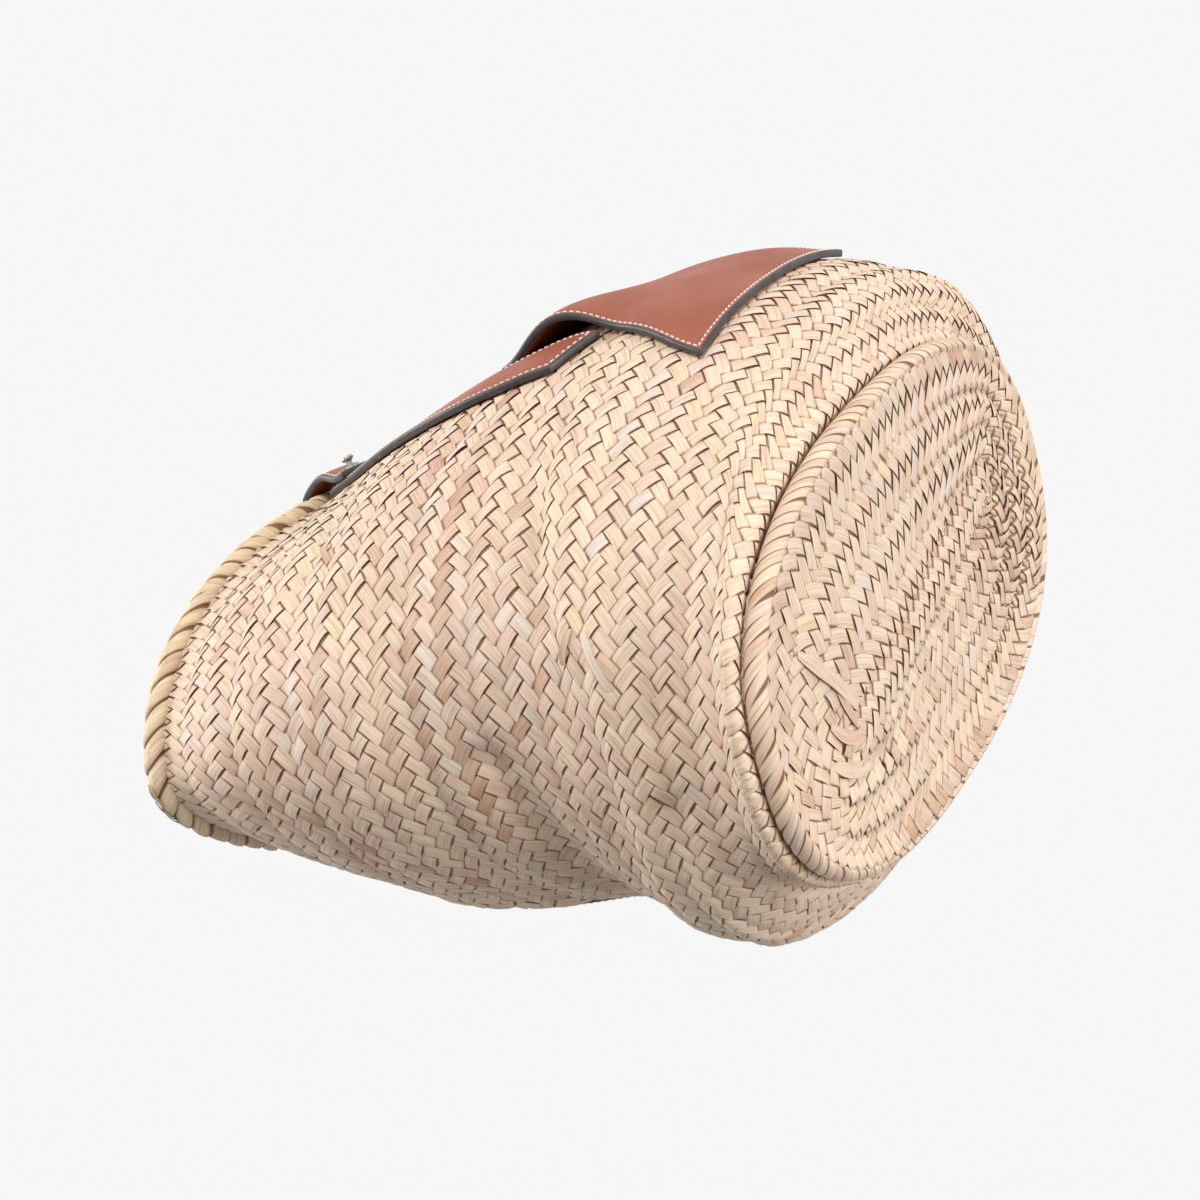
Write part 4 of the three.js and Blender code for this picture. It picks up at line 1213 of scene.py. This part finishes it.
def leaf_material(name, cool, pink, pale, warm):
    """Dry palm leaf: fine fibre along each strand, tones that change from strand to strand, and painted
    shade where strands dive under others and along their buried edges.
    """
    made = Recipe(bpy.data.materials.new(name))
    place = made.add("Attribute", {}, "Vector", attribute_name="leaf_place")
    keys = ("leaf_tone", "leaf_hue", "leaf_painted_shade")
    tone, hue, painted_gap_shade = (made.add("Attribute", {}, "Fac", attribute_name=key) for key in keys)
    fibre = made.noise(made.stretched(place, (0.05, 1.7, 1)), 1.0, 4.0, 0.65)
    streak = made.noise(made.stretched(place, (0.02, 0.5, 1)), 1.0, 2.0)
    blotch = made.noise(made.stretched(place, (0.11, 0.16, 1)), 1.0, 3.0)
    mottled = made.maths("MULTIPLY_ADD", blotch, 1.6, -0.8)
    shifted = made.maths("MULTIPLY_ADD", hue, 0.23, 0.5)
    shifted = made.maths("ADD", shifted, made.maths("MULTIPLY", mottled, 0.22))
    hues = ((0.0, cool), (0.1, cool), (0.3, pink), (0.46, pale), (0.68, pale), (0.98, warm))
    body = made.ramp(shifted, *hues)
    # The tone also carries the base's painted shade and light
    age_and_shade = made.maths("MULTIPLY_ADD", tone, 0.18, 0.5)
    age_and_shade = made.maths("ADD", age_and_shade, made.maths("MULTIPLY", mottled, 0.2))
    aged_and_shaded = made.ramp(age_and_shade, (0.2, 0.0), (0.55, 0.07), (0.75, 0.3), (1, 0.8))
    colour = made.mix("MIX", aged_and_shaded, body, BROWN)
    lines = made.ramp(fibre, (0.32, (0.66, 0.59, 0.53)), (0.45, (0.9, 0.88, 0.86)), (0.54, 1.0), (0.7, 1.1))
    colour = made.mix("MULTIPLY", 0.8, colour, lines)
    bands = made.ramp(streak, (0.3, (0.86, 0.82, 0.77)), (0.55, 1.0))
    colour = made.mix("MULTIPLY", 0.7, colour, bands)
    # Painted shade: darkens the leaf where the strands turn under each other and at tucked ends
    dark = made.ramp(painted_gap_shade, (0.26, 1.0), (0.85, (0.28, 0.17, 0.1)))
    colour = made.mix("MULTIPLY", 0.95, colour, dark)
    # Painted shadow: a dark line along each strand's buried upper edge, on one side only
    across = made.maths("MULTIPLY", made.add("SeparateXYZ", {0: place}, 1), 2 / STRAND)
    across = made.maths("MULTIPLY_ADD", made.maths("SUBTRACT", blotch, 0.5), 0.1, across)
    painted_edge_shadow = made.ramp(across, (0.8, 1.0), (0.92, (0.66, 0.55, 0.45)), (1.0, (0.3, 0.19, 0.12)))
    colour = made.mix("MULTIPLY", 0.9, colour, painted_edge_shadow)
    rough = made.ramp(streak, (0.2, 0.72), (0.8, 0.52))
    shown = {"Base Color": colour, "Roughness": rough, "Specular IOR Level": 0.35}
    return made.shader(shown, made.maths("ADD", fibre, streak), 0.55, 0.00022)


def leather_material():
    """Smooth tan leather with pores, faint creases and a slight change of tone."""
    made, place = material_recipe("tan_leather")
    cloud = made.noise(place, 22, 4.0, 0.55)
    tans = ((0.3, (0.275, 0.073, 0.036)), (0.5, (0.32, 0.09, 0.047)), (0.72, (0.375, 0.114, 0.063)))
    body = made.ramp(cloud, *tans)
    pores = made.add("TexVoronoi", {"Scale": 1500, "Vector": place}, "Distance")
    fine = made.noise(place, 900, 3.0, 0.6)
    colour = made.mix("MULTIPLY", 0.5, body, made.ramp(pores, (0.0, 0.84), (0.35, 1.0)))
    rough = made.ramp(cloud, (0.3, 0.56), (0.7, 0.42))
    height = made.maths("ADD", made.maths("MULTIPLY", pores, 0.6), fine)
    shown = {"Base Color": colour, "Roughness": rough, "Specular IOR Level": 0.3}
    return made.shader(shown, height, 0.22, 0.0003)


def edge_material():
    """Dark edge paint, worn a little brown."""
    made, place = material_recipe("edge_paint")
    wear = made.noise(place, 160, 4.0, 0.6)
    darks = ((0.35, (0.026, 0.022, 0.022)), (0.62, (0.055, 0.048, 0.05)), (0.8, (0.13, 0.09, 0.075)))
    body = made.ramp(wear, *darks)
    return made.shader({"Base Color": body, "Roughness": 0.42}, wear, 0.25, 0.0003)


def thread_material():
    """Off-white waxed thread with a fine twist."""
    made, place = material_recipe("thread")
    twist = made.noise(place, 2600, 2.0, 0.5)
    body = made.ramp(twist, (0.3, (0.6, 0.52, 0.47)), (0.7, (0.86, 0.8, 0.75)))
    return made.shader({"Base Color": body, "Roughness": 0.6}, twist, 0.4, 0.0002)


def metal_material():
    """Polished dark nickel with a touch of tarnish."""
    made, place = material_recipe("dark_nickel")
    tarnish = made.noise(place, 420, 4.0, 0.6)
    body = made.ramp(tarnish, (0.3, (0.33, 0.3, 0.27)), (0.7, (0.56, 0.53, 0.49)))
    rough = made.ramp(tarnish, (0.3, 0.34), (0.7, 0.2))
    return made.shader({"Base Color": body, "Metallic": 1.0, "Roughness": rough}, tarnish, 0.1, 0.0001)


# Camera, floor and light

IMAGE_RIGHT = Vector((0.42966, 0.27191, -0.86108))
IMAGE_DOWN = Vector((-0.42178, 0.9036, 0.07488))
FORWARD = Vector((0.79843, 0.33101, 0.50293))
CAMERA_PLACE = Vector((-787.66, -334.11, -358.13))
CAMERA_LENS = 74.21
BACKGROUND = 0.922
FILL_ABOVE = 0.62
FILL_BELOW = 0.19
FLOOR_HALF = 9000
FLOOR_DROP = 0.5


def camera():
    made = bpy.data.objects.new("camera", bpy.data.cameras.new("camera"))
    bpy.context.scene.collection.objects.link(made)
    turn = Matrix((IMAGE_RIGHT, -IMAGE_DOWN, -FORWARD)).transposed()
    made.matrix_world = Matrix.Translation(CAMERA_PLACE * MM) @ turn.to_4x4()
    made.data.sensor_width = 36
    made.data.lens = CAMERA_LENS
    made.data.clip_start = 0.02
    made.data.clip_end = 20
    bpy.context.scene.camera = made


def sun(name, towards, strength, spread, colour=(1, 1, 1)):
    """A soft lamp that shines from a direction."""
    made = bpy.data.objects.new(name, bpy.data.lights.new(name, "SUN"))
    bpy.context.scene.collection.objects.link(made)
    made.data.energy = strength
    made.data.angle = math.radians(spread)
    made.data.color = colour
    made.rotation_mode = "QUATERNION"
    made.rotation_quaternion = Vector(towards).normalized().to_track_quat("Z", "Y")


def lights():
    up, right, back = -IMAGE_DOWN, IMAGE_RIGHT, -FORWARD
    sun("key", up * 0.88 + back * 0.8 - right * 0.25, 1.78, 20, (1, 0.99, 0.975))
    sun("side", up * 0.12 + back * 0.6 + right * 0.8, 2.1, 35)
    sun("left", back * 0.5 - right * 0.85, 0.42, 40)
    sun("above", Vector((-0.15, -0.2, 1)), 1.8, 30)


def floor():
    """A pale floor that is seen from above only, so the photo's low view shows the base."""
    reach = ((-1, -1), (1, -1), (1, 1), (-1, 1))
    corners = [(x * FLOOR_HALF, y * FLOOR_HALF, -FLOOR_DROP) for x, y in reach]
    made = mesh_object("floor", corners, [(0, 1, 2, 3)], False)
    pale = Recipe(bpy.data.materials.new("floor_pale"))
    made.data.materials.append(pale.shader({"Base Color": (0.9, 0.9, 0.9), "Roughness": 0.9}))
    solid = pale.nodes["Principled BSDF"].outputs[0]
    behind = pale.add("NewGeometry", {}, "Backfacing")
    seen = pale.add("MixShader", {0: behind, 1: solid, 2: pale.add("BsdfTransparent", {})})
    pale.feed(pale.nodes["Material Output"].inputs["Surface"], seen)
    made.visible_shadow = False
    made.visible_diffuse = False
    made.visible_glossy = False
    made.visible_transmission = False


def world():
    """A soft fill, brighter from the photo's upper side, behind a plain pale background."""
    made = bpy.data.worlds.new("studio")
    bpy.context.scene.world = made
    sky = Recipe(made)
    seen = sky.nodes["Background"]
    sky.feed(seen.inputs["Color"], (BACKGROUND,) * 3)
    sky.feed(seen.inputs["Strength"], 1)
    heading = {0: sky.add("TexCoord", {}, "Generated"), 1: -IMAGE_DOWN}
    height = sky.add("VectorMath", heading, "Value", operation="DOT_PRODUCT")
    half = (FILL_ABOVE - FILL_BELOW) / 2
    fill = sky.maths("MULTIPLY_ADD", height, half, FILL_BELOW + half)
    lit = sky.add("Background", {"Color": (1, 1, 1), "Strength": fill})
    path = sky.nodes.new("ShaderNodeLightPath").outputs
    either = sky.maths("MAXIMUM", path["Is Camera Ray"], path["Is Glossy Ray"])
    either = sky.maths("MAXIMUM", either, path["Is Transmission Ray"])
    shown = sky.add("MixShader", {0: either, 1: lit, 2: seen.outputs[0]})
    sky.feed(sky.nodes["World Output"].inputs["Surface"], shown)


# Build

camera()
floor()
world()
lights()
bpy.context.scene.view_settings.view_transform = "Standard"

leaf = leaf_material("palm_leaf", COOL, PINK, PALE, WARM)
leaf_rope = leaf_material("palm_leaf_rope", PALE, ROPE_PALE, ROPE_PALE, ROPE_WARM)
finishes = (leather_material(), edge_material(), thread_material())
metal = metal_material()

wall = strands_mesh("wall_braid", [wall_strands(), *wall_loose()], leaf)
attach(wall, "basket")
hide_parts("wall_lower", "wall_middle", "wall_upper")

rounds = [base_round(first) for first in range(0, BASE_ROWS, BASE_ROUND)]
base = strands_mesh("base_braid", [*rounds, core_strip(), *base_loose()], leaf)
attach(base, "basket")
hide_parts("base")

overcast_ring = ring(leaf)
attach(overcast_ring, "basket")
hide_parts("base_ring")

overcast_rim = rope(leaf_rope)
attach(overcast_rim, "basket")
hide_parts("rim_rope")

frayed = strands_mesh("rim_frayed_end", frayed_end(), leaf_rope)
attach(frayed, "basket")

patch_piece, patch_thread = patch(finishes)
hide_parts("front_patch")
for piece in (patch_piece, patch_thread):
    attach(piece, "basket")

for side, side_name in ((FRONT, "front"), (BACK, "back")):
    for hand, hand_name in ((-1, "left"), (1, "right")):
        corner = f"{side_name}_{hand_name}"
        strap_piece, strap_thread = strap(corner, side, hand, finishes)
        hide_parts(f"strap_{corner}")
        for piece in (strap_piece, strap_thread):
            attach(piece, "basket")
        for node in (f"stud_{corner}", f"stud_screw_{corner}"):
            held = frame["nodes"][node]
            held.data.materials.clear()
            held.data.materials.append(metal)
    grip = handle(f"{side_name}_handle", side, finishes)
    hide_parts(f"{side_name}_handle", f"handle_end_{side_name}_left", f"handle_end_{side_name}_right")

bpy.context.view_layer.update()
